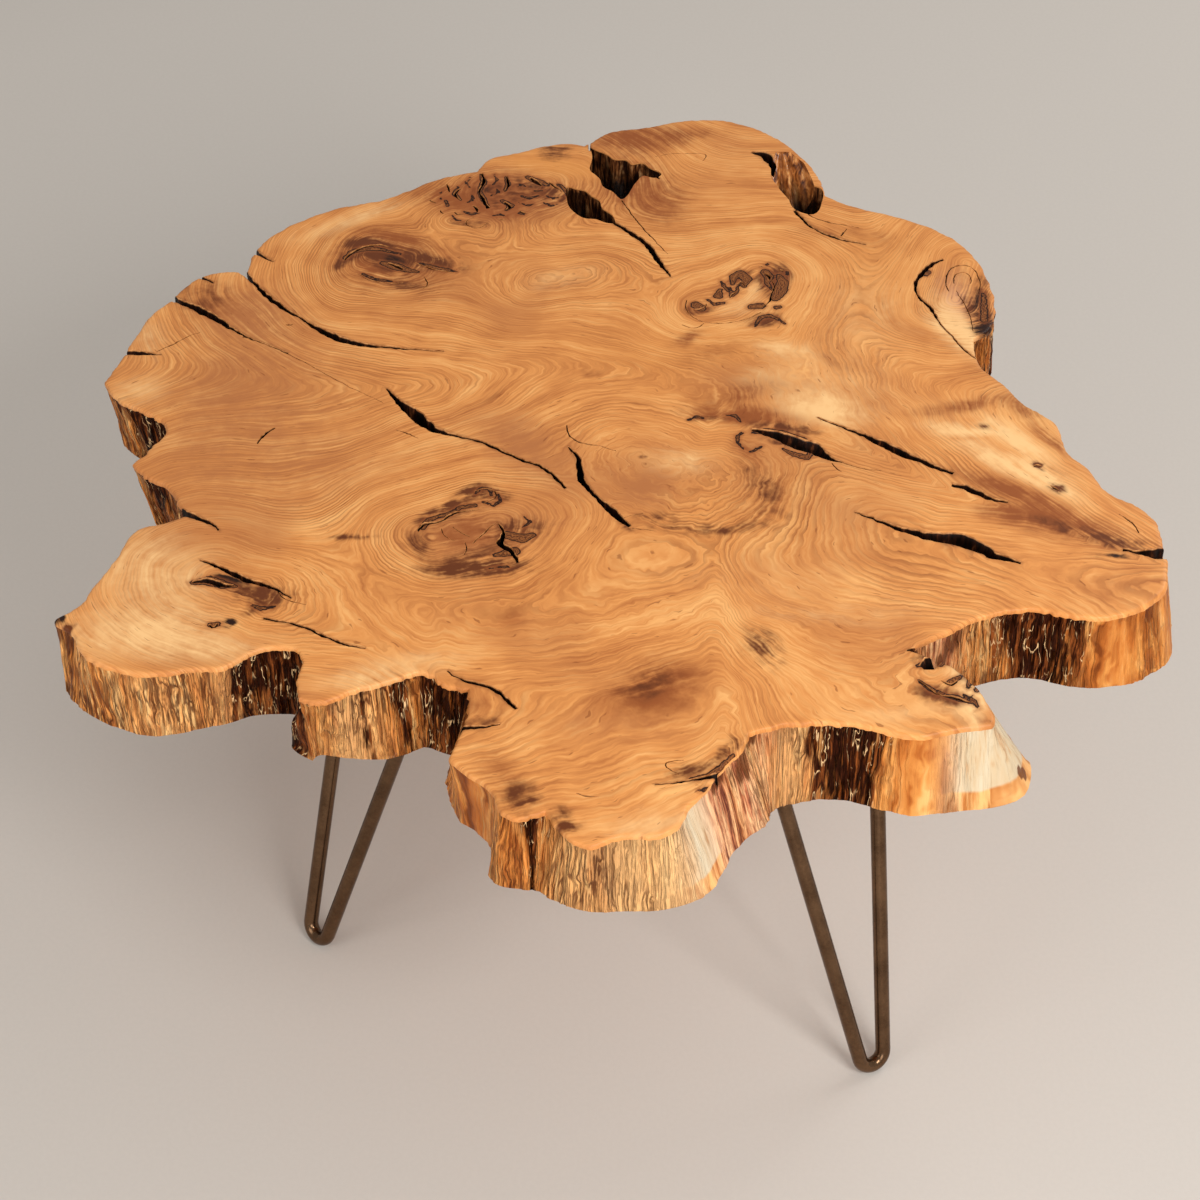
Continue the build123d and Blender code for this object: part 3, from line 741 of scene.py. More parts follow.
class Painter:
    # Puts a material together from noise, attributes and a few sums
    def __init__(self, name):
        self.material = bpy.data.materials.new(name)
        self.material.use_nodes = True
        self.tree = self.material.node_tree
        self.tree.nodes.clear()
        self.point = self.node("TexCoord").outputs["Object"]

    def node(self, kind, inputs=None, **settings):
        made = self.tree.nodes.new("ShaderNode" + kind)
        for name, value in settings.items():
            setattr(made, name, value)
        for key, value in (inputs or {}).items():
            if isinstance(value, bpy.types.NodeSocket):
                self.tree.links.new(value, made.inputs[key])
            else:
                made.inputs[key].default_value = value
        return made

    def calc(self, operation, first, second=0.0, third=0.0):
        return self.node("Math", {0: first, 1: second, 2: third}, operation=operation).outputs[0]

    def plus(self, first, second):
        return self.calc("ADD", first, second)

    def minus(self, first, second):
        return self.calc("SUBTRACT", first, second)

    def times(self, first, second):
        return self.calc("MULTIPLY", first, second)

    def scaled(self, value, factor, base):
        return self.calc("MULTIPLY_ADD", value, factor, base)

    def step(self, value, low, high, start=0.0, end=1.0):
        return self.node("MapRange", {0: value, 1: low, 2: high, 3: start, 4: end},
                         interpolation_type="SMOOTHSTEP").outputs[0]

    def mix(self, share, first, second):
        return self.node("Mix", {0: share, 6: first, 7: second}, data_type="RGBA").outputs[2]

    def ramp(self, value, stops):
        made = self.node("ValToRGB", {0: value})
        elements = made.color_ramp.elements
        while len(elements) < len(stops):
            elements.new(0.5)
        for element, (place, colour) in zip(elements, stops):
            element.position = place
            element.color = colour
        return made.outputs[0]

    def noise(self, place, scale, detail=2.0, roughness=0.5, output="Fac"):
        made = self.node("TexNoise", {"Vector": place, "Scale": scale, "Detail": detail,
                                      "Roughness": roughness})
        return made.outputs[output]

    def axis(self, name):
        return self.node("SeparateXYZ", {0: self.point}).outputs[name]

    def place(self, x, y, z):
        return self.node("CombineXYZ", {0: x, 1: y, 2: z}).outputs[0]

    def stretched(self, scale):
        return self.node("Mapping", {"Vector": self.point, "Scale": scale}).outputs[0]

    def wavy(self, place, scale, size):
        # Moves coordinates by a noise colour, size metres at most to either side
        offset = self.noise(self.point, scale, output="Color")
        centred = self.node("VectorMath", {0: offset, 1: (-0.5, -0.5, -0.5)}, operation="ADD")
        return self.node("VectorMath", {0: centred.outputs[0], 1: (2 * size,) * 3, 2: place},
                         operation="MULTIPLY_ADD").outputs[0]

    def attribute(self, name):
        return self.node("Attribute", attribute_name=name).outputs["Fac"]

    def finish(self, colour, roughness, height=None, bump=0.0, **sockets):
        inputs = {"Base Color": colour, "Roughness": roughness}
        inputs.update({name.replace("_", " "): value for name, value in sockets.items()})
        if height is not None:
            lifted = self.node("Bump", {"Height": height, "Strength": 1.0, "Distance": bump})
            inputs["Normal"] = lifted.outputs[0]
        shader = self.node("BsdfPrincipled", inputs)
        out = self.node("OutputMaterial", {"Surface": shader.outputs[0]})
        out.is_active_output = True
        return self.material


# Piths of the figure as lines of x, y and how late the rings start there, then how tight the
# rings are and how soft the middle is
figure = {
    "knotLeft": ([(-140, -118, 0), (-92, -108, 0)], 1.0, 4),
    "eyeRear": ([(-204, 217, 0), (-176, 206, 0)], 1.8, 3),
    "ovalRear": ([(-64, 189, 14), (-26, 192, 14)], 1.25, 6),
    "curls": ([(70, 160, 0), (90, 168, 0), (116, 186, 0)], 1.2, 4),
    "upperFlow": ([(-190, 212, 34), (-45, 190, 34), (98, 170, 34)], 1.0, 20),
    "burlRear": ([(-138, 268, 20), (-108, 266, 20)], 1.4, 5),
    "burlPatch": ([(-105, 318, 22), (-62, 322, 22)], 1.4, 8),
    "middle": ([(6, -30, 10), (40, -52, 12), (70, -50, 18)], 1.0, 34),
    "branch": ([(126, 118, 44), (150, 20, 40), (250, -62, 76), (420, -160, 140)], 1.0, 24),
    "lowerFlow": ([(-304, -158, 26), (-262, -178, 26), (-150, -240, 30), (-60, -276, 34),
                   (20, -280, 40), (110, -264, 66), (224, -246, 96)], 1.0, 18),
    "leftLobe": ([(-304, -158, 8), (-262, -178, 8)], 1.0, 6),
    "frontHeart": ([(-6, -286, 20), (40, -266, 20)], 0.95, 14),
    "neck": ([(221, -252, 52), (226, -240, 52)], 1.15, 4),
    "knob": ([(270, 165, 4), (284, 212, 4)], 1.3, 4),
}

# Straight runs of grain between the piths: centre, ring there, rise to the right and to the rear,
# and the x where they start and end
grainRuns = {
    "frontRight": (190, -130, 118, 0.2, 0.38, 60, 600),
    "frontMiddle": (20, -160, 76, -0.12, 0.4, -130, 70),
}

# Stains, clouds and pale wood: x, y, half width, half height, turn, tone, strength
stains = [
    (-192, 210, 70, 40, -25, "russet", 0.7), (-206, 224, 34, 14, -20, "umber", 0.85),
    (-184, 209, 26, 12, -30, "umber", 0.9), (-180, 208, 14, 7, -30, "bark", 0.7),
    (-150, 208, 34, 10, -14, "umber", 0.75), (-170, 182, 30, 9, -15, "umber", 0.45),
    (-226, 212, 10, 16, -30, "umber", 0.6), (-185, 236, 40, 8, -20, "russet", 0.6),
    (-98, 306, 74, 44, 0, "russet", 0.7), (-98, 306, 60, 40, 0, "tan", 0.9),
    (-92, 316, 46, 20, 0, "umber", 0.5), (-70, 326, 20, 9, -20, "bark", 0.45),
    (-112, 318, 7, 20, 0, "bark", 0.45), (-98, 298, 12, 10, 0, "bark", 0.35),
    (-122, 266, 36, 10, 5, "umber", 0.4),
    (-48, 312, 24, 12, -40, "umber", 0.6), (-150, 306, 30, 24, 0, "russet", 0.5),
    (30, 292, 40, 46, 30, "russet", 0.55), (5, 330, 30, 40, 0, "russet", 0.5),
    (10, 385, 50, 24, 12, "russet", 0.75), (55, 395, 40, 14, 10, "russet", 0.4),
    (-52, 350, 70, 22, -15, "honey", 0.5), (-58, 372, 18, 14, -30, "umber", 0.5),
    (129, 186, 17, 24, -10, "umber", 0.85), (118, 138, 22, 12, 0, "umber", 0.6),
    (98, 192, 16, 12, 20, "umber", 0.55), (66, 157, 18, 9, 10, "umber", 0.5),
    (62, 158, 12, 12, 0, "russet", 0.6), (52, 118, 22, 9, 35, "russet", 0.6),
    (85, 182, 20, 14, 40, "tan", 0.35), (96, 160, 26, 14, 10, "sap", 0.35),
    (110, 178, 10, 14, 0, "sap", 0.35), (80, 72, 40, 24, 0, "tan", 0.6),
    (70, 98, 50, 16, 20, "russet", 0.35), (130, 98, 30, 12, -20, "sap", 0.5),
    (108, 64, 30, 16, 0, "sap", 0.35), (165, 86, 24, 8, -40, "russet", 0.4),
    (95, 26, 50, 12, -4, "russet", 0.8), (130, 12, 26, 9, -12, "umber", 0.65),
    (92, 52, 44, 18, 10, "russet", 0.55), (70, 22, 28, 5, 8, "umber", 0.5),
    (132, -8, 36, 14, -33, "umber", 0.6), (62, -100, 60, 9, 8, "umber", 0.55),
    (104, -62, 16, 34, 30, "umber", 0.45), (20, -92, 30, 9, 15, "umber", 0.5),
    (96, -18, 14, 24, 20, "russet", 0.5), (40, -32, 40, 22, -10, "sap", 0.4),
    (10, -58, 26, 26, 0, "tan", 0.6), (-4, -108, 10, 5, -30, "umber", 0.9),
    (10, -25, 4, 3, 0, "umber", 0.6), (-36, 63, 7, 3, 5, "bark", 0.9),
    (-24, 71, 8, 6, 40, "russet", 0.6), (-75, -10, 40, 30, -35, "tan", 0.6),
    (150, 36, 34, 20, -20, "sap", 0.6),
    (-108, -118, 64, 34, 5, "tan", 0.7), (-130, -88, 26, 8, 28, "umber", 0.6),
    (-104, -70, 18, 9, 20, "umber", 0.7),
    (-90, -76, 14, 8, -10, "umber", 0.5), (-105, -148, 46, 10, 4, "umber", 0.7),
    (-150, -126, 16, 18, 0, "umber", 0.5), (-200, -118, 26, 6, 8, "umber", 0.6),
    (-98, -136, 40, 12, 6, "umber", 0.3), (-104, -152, 60, 8, 4, "umber", 0.35),
    (-108, -112, 58, 30, 5, "russet", 0.45), (-120, -92, 34, 14, 25, "umber", 0.35),
    (-76, -114, 26, 16, 0, "umber", 0.6), (-118, -120, 30, 12, 0, "russet", 0.25),
    (-295, -163, 20, 8, -18, "bark", 0.9), (-272, -176, 36, 16, -15, "umber", 0.65),
    (-262, -192, 30, 8, 20, "umber", 0.4), (-292, -206, 8, 6, 0, "bark", 0.8),
    (18, -272, 44, 32, 15, "russet", 0.75), (14, -268, 26, 18, 15, "umber", 0.55),
    (98, -236, 20, 34, 20, "umber", 0.45), (-70, -375, 18, 20, 40, "umber", 0.55),
    (-40, -392, 12, 14, 0, "umber", 0.6), (-86, -352, 34, 16, -50, "russet", 0.4),
    (-95, -305, 26, 16, 10, "umber", 0.5), (-100, -285, 16, 14, 0, "russet", 0.5),
    (45, -352, 24, 10, 25, "umber", 0.5), (70, -328, 20, 8, 50, "umber", 0.6),
    (222, -278, 22, 10, -20, "umber", 0.75), (218, -244, 18, 10, 0, "bark", 0.6),
    (240, -252, 8, 16, 15, "bark", 0.5), (232, -232, 12, 8, 0, "umber", 0.5),
    (320, -98, 56, 18, -18, "russet", 0.8), (330, -104, 36, 9, -18, "umber", 0.6),
    (290, -62, 56, 10, -32, "russet", 0.7), (255, 34, 50, 8, 6, "russet", 0.6),
    (302, 26, 26, 12, -50, "russet", 0.6), (276, 8, 26, 4, -20, "umber", 0.45),
    (322, -8, 24, 8, -50, "russet", 0.5), (-335, 172, 44, 26, -30, "russet", 0.5),
    (-403, -203, 8, 7, 0, "bark", 1.0), (-395, -212, 8, 5, 60, "umber", 0.9),
    (370, -118, 30, 8, -15, "umber", 0.55),
    (352, -128, 22, 5, 0, "bark", 0.5), (350, -160, 50, 20, 20, "russet", 0.3),
    (300, -8, 40, 8, -50, "sap", 0.8), (290, -34, 60, 12, -40, "sap", 0.75),
    (262, 8, 40, 6, -15, "sap", 0.7), (318, -50, 26, 8, -50, "sap", 0.7),
    (250, 20, 50, 20, -30, "sap", 0.2), (150, 34, 34, 14, -10, "sap", 0.5),
    (150, 70, 60, 20, -15, "sap", 0.2),
    (313, -35, 6, 5, 0, "umber", 0.9), (323, -60, 5, 8, 30, "umber", 0.9),
    (-345, -150, 50, 60, 20, "sap", 0.45), (-350, -215, 55, 30, 0, "sap", 0.55),
    (-300, -232, 60, 16, 0, "sap", 0.4), (-150, -240, 60, 14, 10, "sap", 0.4),
    (-190, -262, 40, 12, 15, "sap", 0.45), (-230, 268, 70, 16, 28, "sap", 0.45),
    (-370, 60, 30, 24, -30, "sap", 0.35), (-375, 130, 20, 36, 20, "sap", 0.35),
    (150, -200, 120, 16, 0, "sap", 0.2), (10, -395, 40, 14, 5, "sap", 0.45),
    (195, -290, 60, 10, -2, "sap", 0.4), (246, -276, 12, 34, 0, "sap", 0.9),
    (238, -254, 14, 12, 0, "sap", 0.6), (265, 130, 16, 44, 12, "sap", 0.75),
    (270, 190, 22, 30, 0, "russet", 0.3), (285, 150, 14, 40, 10, "umber", 0.55),
    (292, 150, 9, 30, 0, "bark", 0.7), (-45, 190, 40, 18, 5, "sap", 0.3),
    (272, 168, 20, 44, 12, "pink", 0.45), (274, 120, 8, 40, 14, "sap", 0.7),
    (288, 128, 14, 14, 0, "bark", 0.6), (294, 178, 6, 22, 8, "umber", 0.5),
    (-290, 60, 90, 120, -20, "tan", 0.55), (-300, 150, 50, 40, -20, "tan", 0.6),
    (-250, -40, 120, 60, 10, "tan", 0.4), (-330, 175, 30, 24, -30, "umber", 0.35),
    (60, 100, 160, 60, 0, "honey", 0.3), (210, 200, 60, 100, 10, "honey", 0.35),
    (-30, -60, 90, 50, -30, "tan", 0.35), (110, -70, 50, 40, 30, "russet", 0.35),
    (190, 250, 60, 20, -10, "russet", 0.35), (-20, -310, 90, 30, 0, "tan", 0.35),
    (200, 150, 60, 110, -15, "sap", 0.25),
    (120, -160, 160, 40, -3, "sap", 0.18),
]

# Dark pockets of the knots with crisp edges: x, y and half width along each
inkPockets = [
    [(90, 187, 2.2), (91, 196, 3.6), (97, 200, 4.6), (102, 193, 4.8), (99, 184, 2.6)],
    [(81, 190, 1.2), (83, 184, 2.0), (86, 178, 1.4)],
    [(88, 182, 1.2), (89, 172, 2.6), (93, 176, 1.8), (95, 186, 1.0)],
    [(78, 171, 4.0), (80, 179, 1.8)],
    [(117, 202, 4.0), (120, 196, 4.4), (118, 188, 2.6), (121, 180, 1.2)],
    [(128, 197, 2.6), (131, 188, 5.0), (128, 178, 6.4), (124, 168, 4.0)],
    [(104, 157, 3.4), (112, 158, 4.0)], [(124, 156, 2.6), (127, 157, 2.0)],
    [(60, 159, 4.6), (64, 155, 4.2)], [(69, 166, 1.2), (75, 160, 2.0), (82, 162, 1.6)],
    [(106, 132, 1.2), (111, 143, 2.2), (118, 146, 2.4), (125, 141, 1.4), (130, 135, 1.0)],
    [(119, 212, 1.6), (120, 213, 1.2)], [(135, 202, 1.4), (135, 199, 1.4)],
    [(-148, -104, 2.8), (-144, -96, 2.6), (-135, -91, 2.0), (-128, -89, 2.4), (-121, -82, 2.0),
     (-110, -80, 2.2)],
    [(-110, -66, 1.2), (-106, -60, 1.6), (-99, -62, 1.4), (-98, -69, 1.2)],
    [(-104, -76, 1.2), (-96, -80, 1.4), (-91, -75, 1.4), (-93, -68, 1.2)],
    [(-86, -112, 4.0), (-74, -116, 5.0), (-66, -112, 2.6)], [(-94, -134, 2.0), (-80, -130, 5.0)],
    [(-74, -104, 0.9), (-68, -98, 1.4), (-74, -92, 0.9)], [(-98, -148, 0.8), (-84, -146, 1.2)],
    [(100, 3, 1.8), (110, 5, 3.6), (122, 0, 5.6), (136, -8, 6.2), (149, -19, 4.4), (156, -27, 2.0)],
    [(122, -16, 1.2), (130, -22, 3.0), (140, -26, 3.0), (143, -20, 2.4)],
    [(51, 18, 1.2), (57, 22, 1.5), (63, 20, 1.2)], [(80, 24, 1.2), (87, 23, 1.6), (91, 16, 1.2)],
    [(92, 3, 1.0), (88, -1, 1.7), (88, -9, 1.4), (92, -16, 1.0)],
    [(96, -20, 1.0), (101, -17, 1.5), (106, -13, 1.0)],
    [(-194, 214, 3.0), (-184, 210, 5.0), (-174, 205, 3.4), (-164, 202, 1.4)],
    [(-226, 220, 1.6), (-220, 229, 2.8), (-208, 234, 3.4), (-196, 232, 2.0), (-180, 226, 1.2)],
    [(-164, 214, 1.2), (-154, 209, 2.6), (-142, 205, 2.4), (-134, 203, 1.2)],
    [(-210, 200, 1.2), (-200, 193, 2.0), (-186, 190, 1.4)],
    [(-117, 336, 1.8), (-115, 325, 3.2), (-118, 312, 2.0), (-114, 300, 3.0), (-110, 290, 1.6)],
    [(-96, 332, 1.6), (-94, 322, 2.6), (-97, 312, 1.2)],
    [(-78, 332, 2.6), (-68, 325, 4.0), (-60, 320, 1.6)],
    [(-99, 299, 2.0), (-91, 292, 3.2), (-95, 286, 1.4)],
    [(-136, 318, 1.6), (-139, 308, 2.4), (-133, 300, 1.2)],
    [(-52, 322, 1.6), (-46, 314, 2.6), (-44, 306, 1.4)],
    [(-84, 306, 1.0), (-76, 302, 1.8), (-68, 306, 1.0)],
    [(-130, 284, 1.0), (-124, 280, 1.8), (-117, 282, 1.0)], [(-146, 300, 1.2), (-144, 292, 2.0)],
    [(-86, 282, 1.0), (-80, 280, 1.6)], [(-64, 296, 1.0), (-58, 292, 1.8), (-52, 294, 1.0)],
    [(-126, 332, 0.9), (-130, 324, 1.4), (-126, 316, 0.9)],
    [(-106, 336, 0.8), (-104, 328, 1.5), (-107, 320, 0.8)],
    [(-88, 316, 0.9), (-84, 322, 1.2), (-79, 318, 0.9)],
    [(-108, 306, 0.9), (-102, 310, 1.3), (-104, 316, 0.8)],
    [(-84, 296, 0.9), (-78, 292, 1.3), (-72, 294, 0.9)],
    [(-106, 278, 0.8), (-100, 280, 1.3), (-95, 277, 0.8)],
    [(-128, 296, 1.0), (-123, 300, 1.6), (-124, 308, 0.9)],
    [(-62, 306, 0.9), (-57, 302, 1.4), (-51, 303, 0.9)],
    [(-74, 314, 0.8), (-70, 312, 1.2), (-64, 313, 0.8)],
    [(-148, 316, 0.9), (-152, 308, 1.4), (-150, 300, 0.8)],
    [(-140, 278, 0.8), (-136, 272, 1.2), (-130, 270, 0.8)],
    [(222, -244, 4.6), (214, -244, 3.4), (206, -248, 1.4)], [(229, -264, 3.4), (236, -258, 1.6)],
    [(206, -262, 1.2), (213, -270, 2.2), (224, -277, 1.8), (231, -279, 3.0), (241, -284, 1.6)],
    [(241, -252, 1.6), (243, -260, 3.0), (240, -270, 1.4)], [(248, -264, 1.2), (246, -272, 2.2)],
    [(236, -276, 1.2), (243, -281, 2.2), (246, -290, 1.4)], [(244, -294, 1.0), (247, -300, 2.0)],
    [(-312, -163, 2.4), (-300, -161, 5.0), (-290, -165, 4.4), (-280, -167, 1.6)],
    [(-268, -186, 1.4), (-260, -190, 2.4), (-250, -188, 1.2)],
    [(-295, -207, 2.6), (-290, -206, 2.6)],
    [(44, -356, 1.4), (56, -353, 2.6), (66, -345, 3.0), (74, -334, 1.6)],
    [(50, -366, 1.2), (58, -364, 2.2)], [(292, 178, 1.4), (291, 160, 3.0), (289, 140, 3.4)],
    [(247, 199, 2.6), (250, 202, 2.6)],
]

# Where the growth rings show as firm dark lines: x, y, half width, half height, turn, strength
ringed = [
    (-192, 208, 90, 56, -20, 1.0), (-118, -112, 110, 60, 5, 0.9), (-210, -120, 60, 80, 10, 0.9),
    (98, 175, 90, 70, 20, 0.5), (190, 150, 50, 90, 0, 0.5), (272, 170, 26, 60, 10, 1.7),
    (-45, 190, 60, 36, 0, 0.4), (-120, 272, 60, 26, 0, 0.8), (-98, 310, 60, 36, 0, 0.8),
    (224, -250, 70, 50, -30, 0.7), (-320, -140, 60, 70, 20, 0.6), (120, -90, 60, 60, 0, 0.7),
    (300, -60, 90, 60, -30, 0.6), (-260, 60, 110, 90, 0, 0.6), (230, -150, 90, 30, -20, 0.5),
]

# Where the figure is most curly: the same six values
curly = [
    (100, 95, 70, 50, 0, 1.0), (34, -40, 70, 50, -20, 1.3), (-45, 190, 60, 30, 0, 0.8),
    (-110, -110, 40, 30, 0, 1.0),
    (98, 175, 50, 40, 0, 0.6), (-98, 305, 70, 50, 0, 1.0), (60, -200, 120, 30, 5, 0.6),
    (-190, 210, 60, 34, -20, 0.7), (110, -10, 60, 34, -20, 0.9), (180, 50, 60, 50, -30, 0.6),
    (-280, -180, 60, 40, 0, 0.7), (224, -252, 50, 40, 0, 0.8), (-60, 100, 90, 30, 0, 0.4),
]

# Order in which the stains are laid over each other, how ragged their edges are and how crisp
stainOrder = {
    "tan": (1.0, 0.04),
    "honey": (0.8, 0.04),
    "sap": (1.2, 0.04),
    "pink": (1.0, 0.04),
    "russet": (1.4, 0.04),
    "umber": (2.2, 0.14),
    "bark": (2.6, 0.14),
}

figureFlow = {
    "merge": 80.0,         # millimetres over which two sets of rings run together
    "stray": 15.0,         # how far the rings stray, and over what distance
    "strayScale": 110.0,
    "strayUpward": 0.3,    # the straying changes less through the slab than along it
    "strayFine": (2.6, 0.35),
    "straySeed": 2,        # without a seed the rings would stray differently each run
    "lipFade": 1.6,
    "stainSpread": 0.62,
    "stainStrength": 1.12,
    "inkReach": 6.0,
}

woodTones = {
    "light": tone(250, 184, 112),
    "mid": tone(228, 151, 82),
    "deep": tone(188, 112, 56),
    "line": tone(132, 68, 28),
    "sap": tone(252, 200, 136),
    "pink": tone(226, 164, 124),
    "honey": tone(228, 150, 76),
    "tan": tone(184, 114, 64),
    "russet": tone(152, 82, 38),
    "umber": tone(104, 52, 22),
    "bark": tone(42, 18, 6),
}


def turned(x, y, centreX, centreY, turn, wide, tall):
    # Distance from a centre in units of its half width and half height
    dx, dy = x - centreX, y - centreY
    angle = radians(turn)
    return np.hypot((dx * cos(angle) + dy * sin(angle)) / wide,
                    (dy * cos(angle) - dx * sin(angle)) / tall)


def awayFrom(x, y, line):
    # Distance in millimetres from a line of x, y points, less the third value carried by each
    nearest = np.full(len(x), 1e4)
    for (x1, y1, carried1), (x2, y2, carried2) in zip(line, line[1:]):
        run = (x2 - x1) ** 2 + (y2 - y1) ** 2
        share = np.clip(((x - x1) * (x2 - x1) + (y - y1) * (y2 - y1)) / run, 0, 1)
        away = np.hypot(x - x1 - share * (x2 - x1), y - y1 - share * (y2 - y1))
        nearest = np.minimum(nearest, away - carried1 - share * (carried2 - carried1))
    return nearest


def merged(first, second):
    overlap = np.maximum(figureFlow["merge"] - np.abs(first - second), 0) / figureFlow["merge"]
    return np.minimum(first, second) - overlap ** 3 * figureFlow["merge"] / 6


def ringField(x, y):
    # Rings grow round every pith and flow together between them, in millimetres
    field = np.full(len(x), 1e4)
    for line, tight, soft in figure.values():
        least = min(late for _, _, late in line)
        line = [(px, py, (least - late) / tight) for px, py, late in line]
        near = tight * np.hypot(awayFrom(x, y, line), soft) + least
        field = merged(field, near)
    for centreX, centreY, level, riseX, riseY, left, right in grainRuns.values():
        outside = np.maximum(left - x, 0) + np.maximum(x - right, 0)
        near = level + riseX * (x - centreX) + riseY * (y - centreY) + 2 * outside
        field = merged(field, near)
    return field


def nearChecks(x, y):
    # 1 at the lips of the checks and openings, falling off within a few millimetres
    nearest = np.full(len(x), 1e4)
    for _, line in checks.values():
        sides = [(px, py, wide / 2) for px, py, wide in line]
        nearest = np.minimum(nearest, awayFrom(x, y, sides))
    return np.exp(-np.maximum(nearest, 0) / figureFlow["lipFade"])


def strayAt(x, y, z):
    # How the figure strays at a point, as a share of the most it strays
    spot = Vector((x, y, figureFlow["strayUpward"] * z)) / figureFlow["strayScale"]
    finer, size = figureFlow["strayFine"]
    return noise.noise_vector(spot) + size * noise.noise_vector(spot * finer)


def paintFigure(piece):
    # The figure's slow shapes are kept on the points, and the material draws the fine lines
    mesh = piece.data
    flat = np.empty(len(mesh.vertices) * 3)
    mesh.vertices.foreach_get("co", flat)
    placeX, placeY, placeZ = flat.reshape(-1, 3).T * 1000
    noise.seed_set(figureFlow["straySeed"])
    stray = np.array([strayAt(*place) for place in zip(placeX, placeY, placeZ)])
    x, y = (place + figureFlow["stray"] * stray[:, k] for k, place in enumerate((placeX, placeY)))
    marks = {"rings": ringField(x, y) / 1000, "lips": nearChecks(placeX, placeY)}
    for name in stainOrder:
        marks[name + "Stain"] = np.zeros(len(x))
    for centreX, centreY, wide, tall, turn, name, strength in stains:
        away = turned(x, y, centreX, centreY, turn, wide, tall)
        share = np.exp(-0.5 * (away / figureFlow["stainSpread"]) ** 2)
        share *= min(1.0, strength * figureFlow["stainStrength"])
        marks[name + "Stain"] = 1 - (1 - marks[name + "Stain"]) * (1 - share)
    for name, places in (("ringed", ringed), ("curly", curly)):
        marks[name] = np.zeros(len(x))
        for centreX, centreY, wide, tall, turn, strength in places:
            away = turned(x, y, centreX, centreY, turn, wide, tall)
            marks[name] = np.maximum(marks[name], strength * np.exp(-0.8 * away ** 2))
    marks["ink"] = np.full(len(x), -figureFlow["inkReach"])
    onTop = placeZ > topFace - 2
    for line in inkPockets:
        away = awayFrom(placeX[onTop], placeY[onTop], line)
        marks["ink"][onTop] = np.maximum(marks["ink"][onTop], -away)
    marks["spots"] = np.zeros(len(x))
    for centreX, centreY, centreZ, wide, tall, strength in wallSpots:
        away = (((placeX - centreX) ** 2 + (placeY - centreY) ** 2) / wide ** 2
                + (placeZ - centreZ) ** 2 / tall ** 2)
        marks["spots"] = np.maximum(marks["spots"], strength * np.exp(-0.6 * away))
    for name, values in marks.items():
        mesh.attributes.new(name, "FLOAT", "POINT").data.foreach_set("value", values)


topFinish = {
    "waver": ((42.0, 2.0, 0.014), (150.0, 1.0, 0.0035)),  # scale, detail and reach in metres
    "calm": 0.25,          # share of that waver where the figure isn't curly
    "ringsPerMetre": 350.0,
    "ringStray": 5.0,
    "cloud": 0.62,
    "lipShade": 0.4,       # how brown the wood is beside the checks
    "halo": 0.55,          # and round the pockets of the knots
    "pocketTones": (tone(78, 34, 10), tone(154, 92, 44), tone(40, 15, 4)),
    "roughness": (0.46, 0.36),
    "bump": 0.0002,
}


